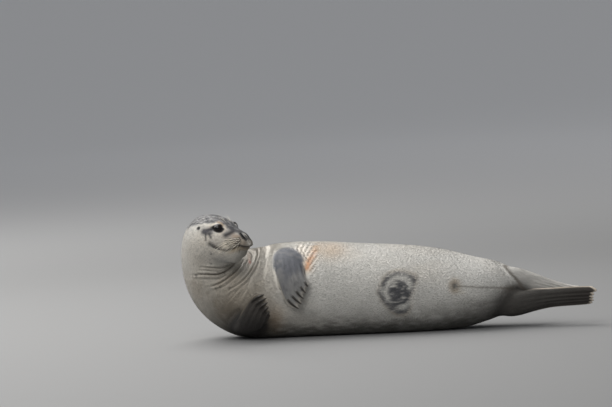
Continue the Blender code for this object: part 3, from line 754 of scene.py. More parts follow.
straight = np.stack([along, girth * np.cos(place[:, 1]), girth * np.sin(place[:, 1])], axis=1)
crumple = mottle(straight, 0.020, 6, octaves=2)
folds = []
for path, width, depth in FOLDS:
    away, share = belly_line(path)
    away = away + 0.0030 * (crumple - 0.5)
    depth = depth * np.sin(math.pi * np.clip(share, 0.02, 0.98)) ** 0.6 * (0.45 + 1.1 * crumple)
    depth = depth * rise(along, 1.425, 1.385)
    relief += 0.28 * depth * bell(away - 2.2 * width, 1.3 * width) - depth * bell(away, width)
    folds.append(bell(away, width) * depth / 0.0055)
fold_shade = np.clip(np.sum(folds, axis=0), 0, 1)

# Fine creases of the neck, low waves over the trunk, and ripples in the armpit.
loose = rise(along, PLACE_OF["chest"] - 0.05, PLACE_OF["neck_root"]) * rise(along, 1.40, 1.32)
relief += 0.0008 * (mottle(straight * (1.0, 0.5, 0.5), 0.012, 3, octaves=2) - 0.5) * loose
waves = mottle(straight, 0.12, 5, octaves=2) - 0.5
relief += 0.0022 * waves * rise(along, 1.33, 1.20) * rise(along, 0, 0.1)
ARMPIT = np.array((-0.312, -0.150, 0.300))
ripple = np.sin((0.86 * points[:, 0] + 0.50 * points[:, 2]) * 2 * math.pi / 0.0115)
armpit = np.exp(-np.sum(((points - ARMPIT) / (0.032, 0.08, 0.050)) ** 2, axis=1)) * (region == 0)
relief += 0.0014 * ripple * armpit
points = points + relief[:, None] * normals

# Lids close over each eyeball. Round the opening, an almond in the plane that the eye looks from, the
# skin lies on the ball; inside the opening it falls away behind it.
LID_THICKNESS, LID_PULL = 0.0010, 0.5
eye_aims, eye_ring = {}, np.full(len(points), 9.0)
for mirror in (-1, 1):
    eye_centre = head_point(EYE[0], mirror * EYE[1], EYE[2])
    looks = unit(0.24 * HEAD_FORWARD + mirror * 0.90 * HEAD_LEFT + 0.30 * HEAD_UP)
    front = HEAD_FORWARD + 0.06 * HEAD_UP
    front = unit(front - front @ looks * looks)
    top = np.cross(looks, front)
    top = top * np.sign(top[2])
    eye_aims[mirror] = (eye_centre, looks, front, top)
    away = points - eye_centre
    x, y, z = away @ front, away @ top, away @ looks
    half_height = EYE_OPENING[1] * np.clip(1 + 0.22 * x / EYE_OPENING[0], 0.4, 1.6)
    ring = np.sqrt((x / EYE_OPENING[0]) ** 2 + (y / half_height) ** 2)
    near = (z > 0) & (ring < 4) & on_face
    bent = 1 + np.sign(ring - 1) * LID_PULL * np.clip(np.abs(ring - 1) / LID_PULL, 0, 1) ** 2.2
    pull = np.where(near & (np.abs(ring - 1) < LID_PULL), bent / np.maximum(ring, 1e-6), 1)
    x, y, ring = x * pull, y * pull, ring * pull
    hold = np.minimum(1, 1.12 / np.maximum(ring, 1e-6))
    ball = np.sqrt(np.maximum((EYE_RADIUS + LID_THICKNESS) ** 2 - (x * hold) ** 2 - (y * hold) ** 2, 0))
    upper = rise(y, -0.004, 0.004)
    crease = 0.0012 * bell(ring - 1.62, 0.18) * upper - 0.0012 * bell(ring - 1.38, 0.10) * (0.4 + 0.6 * upper)
    lid = ball + (z - ball) * rise(ring, 1.02, 1.75) + crease
    lid = np.where(ring < 1, ball - 0.011 * rise(ring, 1.0, 0.92), lid)
    moved = eye_centre + x[:, None] * front + y[:, None] * top + lid[:, None] * looks
    points = np.where(near[:, None], moved, points)
    eye_ring = np.where(near, ring, eye_ring)

# What lies on the floor is flat there, and lifts away from it in a soft curve.
FLOOR_SOFTNESS = 0.012
height = points[:, 2].copy()
rounded = np.where(height < -FLOOR_SOFTNESS, 0, (height + FLOOR_SOFTNESS) ** 2 / (4 * FLOOR_SOFTNESS))
points[:, 2] = np.where(height < FLOOR_SOFTNESS, rounded, height) + 0.0008 * rise(height, 0.02, 0.0)
normals = place_points(joined, points)


# The coat's markings, with painted shade and painted highlight in places, worked out at the skin's
# points from washes of colour laid over each other.
def paint(where, colour):
    """Mixes a colour into the markings and painted shade, by a share from 0 to 1 at each point."""
    pigment_and_shade[:] += np.clip(where, 0, 1)[:, None] * (np.array(colour) - pigment_and_shade)


def face_line(*path):
    """Distance to a line on the face given as (back, out, up) places, on both sides of the head."""
    path = path if len(path) > 1 else (path[0], np.add(path[0], (0.0004, 0, 0)))
    sides = [near_line(face_path(path, mirror))[0] for mirror in (-1, 1)]
    return np.minimum(*sides) + 9.0 * (region > 0)


def stroke(width, share, colour, *path):
    """Paints a soft line of that half-width on both sides of the face."""
    paint(bell(face_line(*path), width) * share, colour)


SILVER, CREAM, WARM = (0.60, 0.585, 0.550), (0.66, 0.59, 0.50), (0.50, 0.455, 0.380)
DUSK, INK, SLATE = (0.15, 0.143, 0.125), (0.030, 0.030, 0.034), (0.125, 0.128, 0.140)
OCHRE, RUST, SMUDGE = (0.50, 0.33, 0.18), (0.48, 0.20, 0.08), (0.060, 0.058, 0.066)
places = on_head(points)
back, out, up = places[:, 0], np.abs(places[:, 1]), places[:, 2]
on_body = region == 0
height = points[:, 2]
broad, middling, small, grain = (
    mottle(straight * (0.6, 1, 1), size, seed)
    for size, seed in ((0.11, 11), (0.035, 12), (0.013, 13), (0.0060, 14))
)
pigment_and_shade = np.tile(SILVER, (len(points), 1)) * (0.90 + 0.20 * broad)[:, None]
neck_share = rise(along, PLACE_OF["chest"] - 0.16, PLACE_OF["neck_root"] + 0.04)
throat_side = rise(-normals[:, 1], 0.15, 0.95)
paint(neck_share * throat_side * (0.28 + 0.45 * broad), WARM)
flecks = mottle(straight, 0.0035, 15, octaves=2)
paint(rise(middling, 0.52, 0.70) * 0.30 * neck_share, (0.36, 0.30, 0.22))
paint(rise(broad, 0.45, 0.70) * 0.22 * on_body, CREAM)
paint(rise(along, 0.46, 0.26) * rise(height, 0.10, 0.19) * on_body * 0.60, (0.74, 0.725, 0.69))
# Painted shade: surfaces that face up are darkened against the strong light from above.
paint(rise(normals[:, 2], 0.70, 1.0) * on_body * 0.30, (0.40, 0.39, 0.37))

# The side it lies on is darker and clouded, partly its own colour and partly painted shade; lowest,
# where it meets the floor, painted shade darkens it further.
low = rise(height + 0.06 * (middling - 0.5), 0.127, 0.010) * on_body
paint(low * (0.45 + 0.55 * rise(small, 0.30, 0.60)) * 0.96, DUSK)
# Painted shade where the body meets the floor.
paint(rise(height + 0.05 * (broad - 0.5), 0.060, 0.010) * on_body * 0.7, (0.085, 0.082, 0.075))

# The back is grey, with dark spots, some of them with a pale ring.
over_back = rise(np.cos(place[:, 1]) - 0.45 * rise(along, 0.98, 1.15), 0.02, 0.55) * on_body
over_back = over_back * rise(along, 1.30, 1.16)
paint(over_back * 0.75, (0.27, 0.27, 0.262))
paint(over_back * bell(middling - 0.585, 0.025) * 0.75, (0.47, 0.46, 0.43))
paint(over_back * rise(middling, 0.60, 0.66) * 0.9, (0.055, 0.055, 0.058))
paint(over_back * rise(small, 0.66, 0.72) * 0.8, (0.07, 0.07, 0.072))

# The crown is closely speckled, down to a line over the eyes and ears.
head_share = rise(along, PLACE_OF["nape"] - 0.01, PLACE_OF["occiput"] + 0.02) * on_body
crown_edge = np.interp(
    back, (0.03, 0.05, 0.072, 0.103, 0.126, 0.165, 0.203, 0.26),
    (0.010, 0.020, 0.032, 0.046, 0.049, 0.046, 0.038, 0.022),
)
above_edge = up - crown_edge
crown = rise(above_edge + 0.012 * (small - 0.5), -0.004, 0.007) * head_share
paint(crown * 0.92, (0.200, 0.200, 0.207))
paint(crown * rise(0.75 * grain + 0.25 * small, 0.45, 0.53) * 0.95, (0.030, 0.031, 0.037))
brow = rise(above_edge, -0.030, 0.0) * head_share
paint(brow * rise(grain, 0.60, 0.68) * rise(back, 0.09, 0.15) * 0.5, SLATE)
paint(head_share * rise(flecks, 0.58, 0.72) * 0.45, (0.16, 0.155, 0.15))
paint(head_share * rise(flecks, 0.40, 0.28) * 0.40, (0.70, 0.68, 0.64))
paint(neck_share * rise(flecks, 0.62, 0.74) * 0.30, (0.20, 0.18, 0.15))

# Face: pale brows and eye corners, which are fainter on its left, then a dark smudge with tear marks
# behind the eye, and a dark band from the eye to the nose.
paint(head_share * rise(above_edge, 0.004, -0.012) * 0.25, (0.50, 0.485, 0.455))
shown = 1 - 0.9 * rise(places[:, 1], 0.0, 0.02)
stroke(0.0042, 0.75 * shown, CREAM, (0.129, 0.064, 0.041), (0.112, 0.051, 0.050), (0.094, 0.044, 0.050))
stroke(0.0052, 0.55 * shown, OCHRE, (0.104, 0.040, 0.057), (0.092, 0.036, 0.053), (0.084, 0.040, 0.042))
stroke(0.0072, 0.85 * shown, CREAM, (0.084, 0.056, 0.012), (0.075, 0.043, 0.025), (0.079, 0.036, 0.038))
smudge = bell(face_line((0.124, 0.068, 0.023), (0.134, 0.075, 0.023), (0.144, 0.080, 0.023)), 0.0125)
paint(np.clip(1.2 * smudge, 0, 1) * (0.60 + 0.40 * rise(grain, 0.30, 0.50)), SMUDGE)
stroke(0.0062, 0.85, SMUDGE, (0.146, 0.082, 0.019), (0.134, 0.080, 0.013), (0.114, 0.074, 0.013))
stroke(0.0036, 0.95, INK, (0.136, 0.083, 0.016), (0.133, 0.088, 0.002), (0.131, 0.090, -0.010))
stroke(0.0040, 0.95, INK, (0.122, 0.079, 0.014), (0.117, 0.081, 0.006), (0.112, 0.082, -0.001))
stroke(
    0.0185, 0.55 + 0.45 * rise(grain, 0.33, 0.50), (0.050, 0.050, 0.054),
    (0.092, 0.010, 0.056), (0.078, 0.013, 0.044), (0.058, 0.014, 0.028), (0.040, 0.012, 0.018),
)
stroke(
    0.0130, 1.0, (0.036, 0.034, 0.038), (0.050, 0.022, 0.016), (0.056, 0.034, 0.011), (0.066, 0.050, 0.005))
stroke(0.0085, 0.9, (0.04, 0.039, 0.041), (0.036, 0.010, 0.017), (0.030, 0.006, 0.015))
stroke(0.0055, 0.85, (0.035, 0.034, 0.037), (0.119, 0.063, 0.026), (0.125, 0.067, 0.024))
stroke(0.0030, 0.9, INK, (0.084, 0.047, 0.028), (0.080, 0.044, 0.026))
lids = bell(np.maximum(eye_ring - 1.26, 0), 0.15)
paint(lids, (0.022, 0.021, 0.023))

# Muzzle: brown pads with dark follicles, a black nose, and a dark line between the lips, dark lip
# skin with painted shade where the mouth stands open at the front.
stroke(
    0.019, 0.90, (0.195, 0.160, 0.120),
    (0.050, 0.046, -0.024), (0.030, 0.040, -0.022), (0.008, 0.024, -0.026),
)
stroke(0.012, 0.75, (0.17, 0.115, 0.07), (0.040, 0.034, 0.000), (0.024, 0.028, -0.004))
dots = np.min([np.linalg.norm(places[:, [0, 2]] - spot, axis=1) for spot in follicles], axis=0)
spots_on_pad = bell(dots, 0.0031) * rise(along, PLACE_OF["eyes"], PLACE_OF["stop"])
paint(np.clip(1.7 * spots_on_pad, 0, 1), (0.014, 0.012, 0.012))
nose_leather = np.maximum(
    np.clip(1.6 * bell(face_line(*NOSTRIL), 0.0078), 0, 1),
    bell(face_line((0.012, 0.0, -0.002), (0.005, 0.0, -0.012)), 0.0080),
)
paint(nose_leather, (0.013, 0.0125, 0.013))
stroke(0.0018, 0.8, INK, *PHILTRUM)
# Dark lip skin, widened by painted shade where the mouth stands open at the front.
lip_dark = mouth_share * np.clip(1.5 * bell(above_lip - 0.0030 * gape, 0.0014 + 0.0046 * gape), 0, 1)
paint(lip_dark, (0.018, 0.014, 0.013))
lower_lip = mouth_share * rise(above_lip, -0.001, -0.004) * rise(above_lip, -0.020, -0.009)
paint(lower_lip * rise(back, 0.075, 0.045) * 0.6, (0.47, 0.38, 0.26))
# Painted shade in a small gap of the lower lip.
stroke(0.0028, 0.8, (0.05, 0.04, 0.035), (0.016, 0.031, -0.054), (0.017, 0.030, -0.060))

# Cheeks and ears: painted shadow of the whiskers behind the pads, a mole, painted shade in the ear
# openings, and a slate wash.
# Painted shadow of the whiskers, in dark streaks above the back of the mouth.
stroke(
    0.0080, rise(grain, 0.30, 0.45) * 0.92, (0.040, 0.037, 0.034),
    (0.116, 0.084, -0.024), (0.096, 0.077, -0.037), (0.070, 0.064, -0.048),
)
stroke(0.0038, 0.95, INK, (0.119, 0.074, -0.063))
# The ear opening painted black: painted shade in its pit.
paint(np.clip(1.6 * bell(face_line(EAR), 0.0075), 0, 1), (0.02, 0.019, 0.018))
stroke(0.014, 0.25, SLATE, (0.112, 0.078, -0.020), (0.080, 0.070, -0.020))

# Throat and chest: painted shade in the folds, small dark marks, a graze, a browner coat lower down
# with painted shade under the chest by the floor, and painted shade over the tops of the neck base and
# shoulders.
flat = points[:, [0, 2]]
facing = rise(-normals[:, 1], -0.1, 0.25) * on_body


def blotch(middle, spread, share, colour, on=facing):
    """Paints a soft oval round an (x, z) place on the belly side, spread along x and z."""
    paint(np.exp(-np.sum(((flat - middle) / spread) ** 2, axis=1)) * on * share, colour)


paint(fold_shade * 0.95, (0.105, 0.085, 0.062))
for middle, size in (
    ((-0.639, 0.205), 0.0045), ((-0.624, 0.211), 0.0042), ((-0.590, 0.205), 0.0045),
    ((-0.711, 0.257), 0.0055), ((-0.652, 0.300), 0.0032), ((-0.692, 0.262), 0.0035),
    ((-0.571, 0.262), 0.0030), ((-0.604, 0.262), 0.0030),
):
    blotch(middle, size, 0.85, INK)
graze = belly_line(((-0.514, 0.320), (-0.512, 0.306), (-0.510, 0.290)))[0]
paint(bell(graze, 0.0050) * on_body * 0.45, (0.45, 0.22, 0.14))
blotch((-0.5105, 0.2925), (0.0036, 0.00576), 0.95, (0.36, 0.035, 0.025))
blotch((-0.560, 0.165), (0.110, 0.090), 0.58, (0.285, 0.240, 0.180))
blotch((-0.600, 0.115), (0.070, 0.050), 0.48 + 0.45 * small, (0.14, 0.112, 0.078))
# Painted shade low under the chest, by the floor.
blotch((-0.545, 0.050), (0.090, 0.050), 0.55, (0.085, 0.075, 0.062))
# Painted shade on the tops of the neck base and shoulders, which face the strong light from above.
blotch((-0.497, 0.325), (0.050, 0.042), 0.88, (0.115, 0.100, 0.080), on_body)
blotch((-0.425, 0.340), (0.060, 0.035), 0.60, (0.34, 0.31, 0.26), on_body)

# Armpit of the upper flipper: cream ridges, with a rust stain behind them that fades over the flank.
stain = belly_line(((-0.296, 0.262), (-0.288, 0.288), (-0.268, 0.318), (-0.262, 0.345)))[0]
blotch((-0.205, 0.322), (0.060, 0.034), 0.45, OCHRE)
blotch((-0.318, 0.300), (0.022, 0.046), 0.70, (0.66, 0.57, 0.46))
paint(bell(stain, 0.020) * on_body * rise(middling, 0.25, 0.6) * 0.50, OCHRE)
paint(bell(stain, 0.008) * on_body * rise(points[:, 2], 0.355, 0.290) * 0.75, RUST)
blotch((-0.430, 0.080), (0.035, 0.050), 0.40, OCHRE)

# Belly: a broken dark ring with a clouded middle, the navel with painted shade in its hollow, and a
# seam from it to the crotch, a line of painted shade with painted highlight beside it.
from_heart = flat - (0.036, 0.155)
bearing = np.degrees(np.arctan2(from_heart[:, 1], from_heart[:, 0]))
ring_reach = np.interp(
    bearing, (-135, -87, -69, -30, -11, 16, 37, 93, 156),
    (0.061, 0.079, 0.085, 0.058, 0.046, 0.060, 0.088, 0.080, 0.072), period=360,
)
ring_dark = np.interp(
    bearing, (-150, -120, -80, -60, -40, 5, 20, 42, 60, 90, 120, 170),
    (1.0, 0.9, 1.0, 0.8, 0.15, 0.30, 0.95, 0.95, 0.55, 0.75, 1.0, 1.0), period=360,
)
outline = np.linalg.norm(from_heart, axis=1) / ring_reach + 0.20 * (middling - 0.5) + 0.16 * (small - 0.5)
inside = np.linalg.norm((flat - (0.042, 0.157)) / (1.0, 1.12), axis=1) + 0.014 * (middling - 0.5)
ring_mark = bell(outline - 0.90, 0.145) * ring_dark * rise(grain, 0.26, 0.48)
inner_mark = rise(inside, 0.050, 0.036) * rise(grain + 0.3 * small, 0.44, 0.62) * 0.95
spokes = bell(outline - 0.66, 0.18) * rise(-from_heart[:, 1], 0.0, 0.05) * rise(small, 0.40, 0.55) * 0.85
navel = np.linalg.norm((flat - (0.251, 0.172)) / (1.0, 1.25), axis=1)
belly_seam = belly_line(((0.262, 0.172), (0.330, 0.163), (0.400, 0.156), (0.470, 0.146)))[0]
clouds = rise(flat[:, 0] + 0.10 * (broad - 0.5), 0.20, 0.30)
clouds = clouds * rise(height + 0.05 * (middling - 0.5), 0.135, 0.095)
for mark, share, colour in (
    (bell(outline - 0.75, 0.30) * rise(grain, 0.65, 0.45), 0.40, (0.62, 0.60, 0.55)),
    (bell(outline - 1.06, 0.08), 0.35, (0.47, 0.38, 0.28)),
    (spokes, 1.0, (0.055, 0.057, 0.066)),
    (inner_mark, 1.0, (0.055, 0.057, 0.066)),
    (ring_mark, 1.0, (0.055, 0.057, 0.066)),
    (bell(navel - 0.014, 0.010), 0.65, (0.40, 0.31, 0.21)),
    # Painted shade in the navel's hollow.
    (bell(navel - 0.0040, 0.0065), 0.95, (0.055, 0.050, 0.045)),
    (np.exp(-np.sum(((flat - (0.278, 0.147)) / (0.016, 0.010)) ** 2, axis=1)), 0.6, (0.62, 0.58, 0.50)),
    # The seam: a line of painted shade, with painted highlight on either side.
    (bell(belly_seam, 0.0040), 0.65, (0.17, 0.15, 0.125)),
    (bell(belly_seam - 0.006, 0.004), 0.25, (0.62, 0.60, 0.55)),
    (clouds * (0.35 + 0.65 * rise(middling, 0.40, 0.55)), 0.62, (0.17, 0.162, 0.148)),
):
    paint(mark * facing * share, colour)
# Darker low on the rump, by the near hind flipper: the coat's own darker underside with painted shade.
paint(rise(along, 0.24, 0.10) * on_body * rise(height, 0.17, 0.11) * 0.85, (0.115, 0.105, 0.095))
blotch((0.475, 0.143), (0.0396, 0.018), 0.7, (0.16, 0.115, 0.075))

# Flippers and tail: dark and streaked, paler at the rims and towards the webs. The right fore and
# right hind flippers, lying low, are their own dark colour with painted shade, and that painted shade
# runs from their roots onto the body.
lengthwise, crosswise = place[:, 0], np.abs(place[:, 1])
limb_place = np.stack([lengthwise * 0.30, place[:, 1] * 0.05, side * 0.01 + region], axis=1)
cloud, streak = mottle(limb_place, 0.045, 21), mottle(limb_place * (0.35, 1, 1), 0.008, 22)
LIMB_COLOURS = {  # how far in metres it runs onto the body, then skin at the root, tips, rims and sole
    "foreflipper_left": (
        0.012, (0.105, 0.110, 0.125), (0.23, 0.225, 0.215), (0.50, 0.46, 0.40), (0.07, 0.068, 0.066)),
    # Its own dark colour with painted shade: it lies low, against the chest.
    "foreflipper_right": (
        0.030, (0.046, 0.042, 0.039), (0.060, 0.053, 0.046), (0.19, 0.165, 0.13), (0.05, 0.048, 0.046)),
    "hindflipper_left": (
        0.006, (0.52, 0.505, 0.475), (0.58, 0.56, 0.53), (0.62, 0.59, 0.54), (0.40, 0.385, 0.36)),
    # Its own dark colour with painted shade: it lies low, by the floor.
    "hindflipper_right": (
        0.034, (0.055, 0.051, 0.046), (0.036, 0.031, 0.027), (0.66, 0.58, 0.48), (0.035, 0.032, 0.029)),
    "tail": (0.006, (0.40, 0.39, 0.37), (0.33, 0.32, 0.30), (0.42, 0.40, 0.37), (0.36, 0.35, 0.33)),
}
for number, (name, (spill, root, tip, rim, sole)) in enumerate(LIMB_COLOURS.items(), 1):
    here = region == number
    # The root colour runs onto the body by the spill; for the two low flippers that is painted shade where
    # they meet the body.
    paint(np.maximum(here, bell(root_of_limb[number], spill)), root)
    paint(here * rise(lengthwise + 0.35 * (cloud - 0.5), 0.45, 0.90) * 0.85, tip)
    paint(here * (side < 0) * 0.6, sole)
    paint(here * rise(cloud, 0.50, 0.66) * 0.35, tip)
    paint(here * rise(streak, 0.60, 0.75) * 0.45, [0.35 * tone for tone in root])
    first_edge = np.where(place[:, 1] > 0, 1.0, 0.35)
    paint(here * rise(crosswise, 0.86, 0.98) * rise(lengthwise, 0.35, 0.6) * 0.80 * first_edge, rim)
    low, high, share = (0.930, 1.0, 0.6) if name.startswith("fore") else (0.970, 0.988, 0.9)
    paint(here * rise(lengthwise, low, high) * share, rim)
    pigment_and_shade *= (1 + here * (0.5 * streak - 0.25))[:, None]
# Painted shade in the crease where the far hind flipper leaves the hip.
crease = bell(root_of_limb[3], 0.0050) * rise(height, 0.110, 0.135) * rise(-normals[:, 1], -0.2, 0.2)
paint(crease * 0.75, (0.12, 0.100, 0.080))
pigment_and_shade *= (0.90 + 0.20 * grain)[:, None]
pigment_and_shade = np.clip(pigment_and_shade, 0.004, 0.9)
around_ear = rise(face_line(EAR), 0.0110, 0.0085)
bare = np.clip(np.maximum.reduce([lids, nose_leather, lip_dark, around_ear, spots_on_pad]), 0, 1)
grizzle = np.maximum.reduce([0.90 * crown, 0.35 * head_share, 0.25 * neck_share, 0.60 * over_back])


def keep(mesh, title, values):
    """Stores numbers, vectors or colours at a mesh's points, under a title that its material reads."""
    kind, field = {1: ("FLOAT", "value"), 3: ("FLOAT_VECTOR", "vector"), 4: ("FLOAT_COLOR", "color")}[
        values.shape[1] if values.ndim > 1 else 1]
    mesh.attributes.new(title, kind, "POINT").data.foreach_set(field, values.astype(np.float32).ravel())


def opaque(colours):
    """Colours with a fourth number, 1, after the three."""
    return np.concatenate([colours, np.ones((len(colours), 1))], axis=1)


texture_place = np.where(on_body[:, None], straight, limb_place)
keep(joined, "Pigment_and_shade", opaque(pigment_and_shade))
keep(joined, "Straight", texture_place)
keep(joined, "Bare", bare)
for title in ("place", "region"):
    joined.uv_layers.remove(joined.uv_layers[title])
joined.shade_smooth()


def pelage_group():
    """Short hair lying along the skin: streaks of light and dark, and the height of the hairs. Place is
    the point on the straightened body, whose first axis runs along the lie of the hair."""
    group = bpy.data.node_groups.new("pelage", "ShaderNodeTree")
    for title, kind, way, start in (
        ("Colour", "NodeSocketColor", "INPUT", (0.5, 0.5, 0.5, 1)),
        ("Place", "NodeSocketVector", "INPUT", None),
        ("Contrast", "NodeSocketFloat", "INPUT", 0.2),
        ("Colour", "NodeSocketColor", "OUTPUT", None),
        ("Height", "NodeSocketFloat", "OUTPUT", None),
        ("Sleekness", "NodeSocketFloat", "OUTPUT", None),
    ):
        socket = group.interface.new_socket(title, in_out=way, socket_type=kind)
        if start is not None:
            socket.default_value = start
    given = group.nodes.new("NodeGroupInput").outputs
    result = group.nodes.new("NodeGroupOutput")

    def step(kind, operation, inputs):
        """The output of a new math node."""
        return add_node(group, kind, inputs, operation=operation).outputs[0]

    locks = step("ShaderNodeVectorMath", "MULTIPLY", {0: given["Place"], 1: (22, 210, 210)})
    hairs = step("ShaderNodeVectorMath", "MULTIPLY", {0: given["Place"], 1: (90, 950, 950)})
    lock_noise = add_node(group, "ShaderNodeTexNoise", {
        "Vector": locks, "Scale": 1.0, "Detail": 3.0, "Roughness": 0.6}).outputs["Fac"]
    hair_noise = add_node(group, "ShaderNodeTexNoise", {
        "Vector": hairs, "Scale": 1.0, "Detail": 2.0}).outputs["Fac"]
    both = step("ShaderNodeMath", "ADD", {0: lock_noise, 1: hair_noise})
    centred = step("ShaderNodeMath", "ADD", {0: both, 1: -1.0})
    swing = step("ShaderNodeMath", "MULTIPLY", {0: centred, 1: given["Contrast"]})
    factor = step("ShaderNodeMath", "ADD", {0: swing, 1: 1.0})
    shaded = step("ShaderNodeVectorMath", "SCALE", {0: given["Colour"], "Scale": factor})
    gloss = add_node(group, "ShaderNodeMapRange", {
        "Value": lock_noise, "From Min": 0.35, "From Max": 0.65, "To Min": 0.50, "To Max": 0.66})
    set_inputs(group, result, {"Colour": shaded, "Height": both, "Sleekness": gloss.outputs[0]})
    return group


pelage = pelage_group()


def hairy_finish(name, contrast, sheen_roughness):
    """A material of short hair in the colours kept on its mesh. Gives back the material, its tree, its
    shader and the outputs of the pelage group."""
    made, tree, shader = finish(name)
    markings_and_shade = add_node(tree, "ShaderNodeAttribute", attribute_name="Pigment_and_shade")
    straight_place = add_node(tree, "ShaderNodeAttribute", attribute_name="Straight")
    hair = add_node(tree, "ShaderNodeGroup", {
        "Colour": markings_and_shade.outputs["Color"], "Place": straight_place.outputs["Vector"], "Contrast": contrast,
    }, node_tree=pelage)
    set_inputs(tree, shader, {
        "Base Color": hair.outputs["Colour"], "Roughness": hair.outputs["Sleekness"],
        "Specular IOR Level": 0.22, "Sheen Weight": 0.05, "Sheen Roughness": sheen_roughness})
    return made, tree, shader, hair.outputs


hide, tree, shader, hair = hairy_finish("hide", 0.24, 0.45)
bare_share = add_node(tree, "ShaderNodeAttribute", attribute_name="Bare")
roughness = add_node(
    tree, "ShaderNodeMix", {0: bare_share.outputs["Fac"], 2: hair["Sleekness"], 3: 0.30}, data_type="FLOAT")
ruffle = add_node(tree, "ShaderNodeBump", {"Height": hair["Height"], "Strength": 0.30, "Distance": 0.0010})
set_inputs(tree, shader, {"Roughness": roughness.outputs[0], "Normal": ruffle.outputs["Normal"]})
joined.materials.clear()
joined.materials.append(hide)
joined.transform(Matrix.Translation(-Vector(MIDDLE)))
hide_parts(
    "rump", "loins", "belly", "chest", "shoulders", "neck", "head", "lower_jaw", "tail",
    "foreflipper_left", "foreflipper_right", "hindflipper_left", "hindflipper_right",
)
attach(skin, "root")

# ---- Eyes ---------------------------------------------------------------------------------------
# Two wet eyes, nearly black, each a ball held in its socket by the lids. A clear front lies over a
# dark brown iris and a pupil that is wide in dull light.
IRIS_REACH, PUPIL_REACH = 0.0125, 0.0062  # from the middle of the gaze, measured over the ball
GAZE_SPAN = 0.03  # the reach that counts as 1
BALL_ROWS, BALL_AROUND = 41, 64
DARK = (0.002, 0.002, 0.003)


def shade_ramp(tree, value, *stops):
    """The colour for a value, blended between stops of (value, colour): the ends first."""
    ramp = add_node(tree, "ShaderNodeValToRGB", {"Fac": value})
    elements = ramp.color_ramp.elements
    for number, (position, colour) in enumerate(stops):
        stop = elements[number] if number < 2 else elements.new(position)
        stop.position, stop.color = position, (*colour, 1)
    return ramp.outputs["Color"]


def smooth_mesh(name, points, faces, material):
    """A smooth mesh of faces and of points, which it moves to the frame's origin, with its finish."""
    mesh = bpy.data.meshes.new(name)
    mesh.from_pydata((points - MIDDLE).tolist(), [], faces)
    mesh.shade_smooth()
    mesh.materials.append(material)
    return mesh


eye_finish, tree, shader = finish("wet_eye_finish")
gaze = add_node(tree, "ShaderNodeAttribute", attribute_name="Gaze")
iris, pupil = IRIS_REACH / GAZE_SPAN, PUPIL_REACH / GAZE_SPAN
iris_shade = shade_ramp(
    tree, gaze.outputs["Fac"], (0.0, DARK), (1.0, (0.010, 0.008, 0.008)),
    (pupil, DARK), (pupil + 0.03, (0.007, 0.0045, 0.0035)),
    (iris - 0.02, (0.010, 0.006, 0.004)), (iris + 0.03, (0.004, 0.004, 0.004)),
)
set_inputs(tree, shader, {
    "Base Color": iris_shade, "Roughness": 0.12, "Specular IOR Level": 0.0, "Coat Weight": 1.0,
    "Coat IOR": 1.36, "Coat Roughness": 0.02})
polar, azimuth = np.meshgrid(
    np.linspace(0, math.pi, BALL_ROWS), np.arange(BALL_AROUND) * 2 * math.pi / BALL_AROUND, indexing="ij")
cornea = EYE_RADIUS + 0.0007 * bell(polar, 0.55)
dome = np.stack([
    cornea * np.sin(polar) * np.cos(azimuth), cornea * np.sin(polar) * np.sin(azimuth), cornea * np.cos(polar)
], axis=-1)
dome = np.concatenate([dome[:1, :1].reshape(1, 3), dome[1:-1].reshape(-1, 3), dome[-1:, :1].reshape(1, 3)])
corner_ring, corner_place = tube_corners(BALL_ROWS - 2, BALL_AROUND)
eye_faces = (1 + corner_ring * BALL_AROUND + corner_place % BALL_AROUND).tolist()
beside = [(i + 1) % BALL_AROUND for i in range(BALL_AROUND)]
last_row = len(dome) - 1 - BALL_AROUND
eye_faces += [[0, 1 + i, 1 + beside[i]] for i in range(BALL_AROUND)]
eye_faces += [[len(dome) - 1, last_row + beside[i], last_row + i] for i in range(BALL_AROUND)]
for mirror, label in ((1, "left"), (-1, "right")):
    eye_centre, looks, front, top = eye_aims[mirror]
    across = np.cross(top, looks)
    ball_points = dome[:, :1] * across + dome[:, 1:2] * top + dome[:, 2:] * looks + eye_centre
    eye_mesh = smooth_mesh(f"wet_eye_{label}", ball_points, eye_faces, eye_finish)
    keep(eye_mesh, "Gaze", np.arccos(np.clip(dome[:, 2] / EYE_RADIUS, -1, 1)) * EYE_RADIUS / GAZE_SPAN)
    eye = put(f"wet_eye_{label}", eye_mesh)
    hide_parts(f"eye_{label}")
    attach(eye, "root")

# ---- Claws --------------------------------------------------------------------------------------
# Five dark horn claws lie along the back of each flipper's digits, rooted under the skin. The front
# ones are long and end in a worn tip past the web; the hind ones are small and stand back from the tips.
CLAW_SIDES, CLAW_RINGS = 12, 14
CLAW_LIFT = 0.0045  # how far its middle stands off the back of the digit


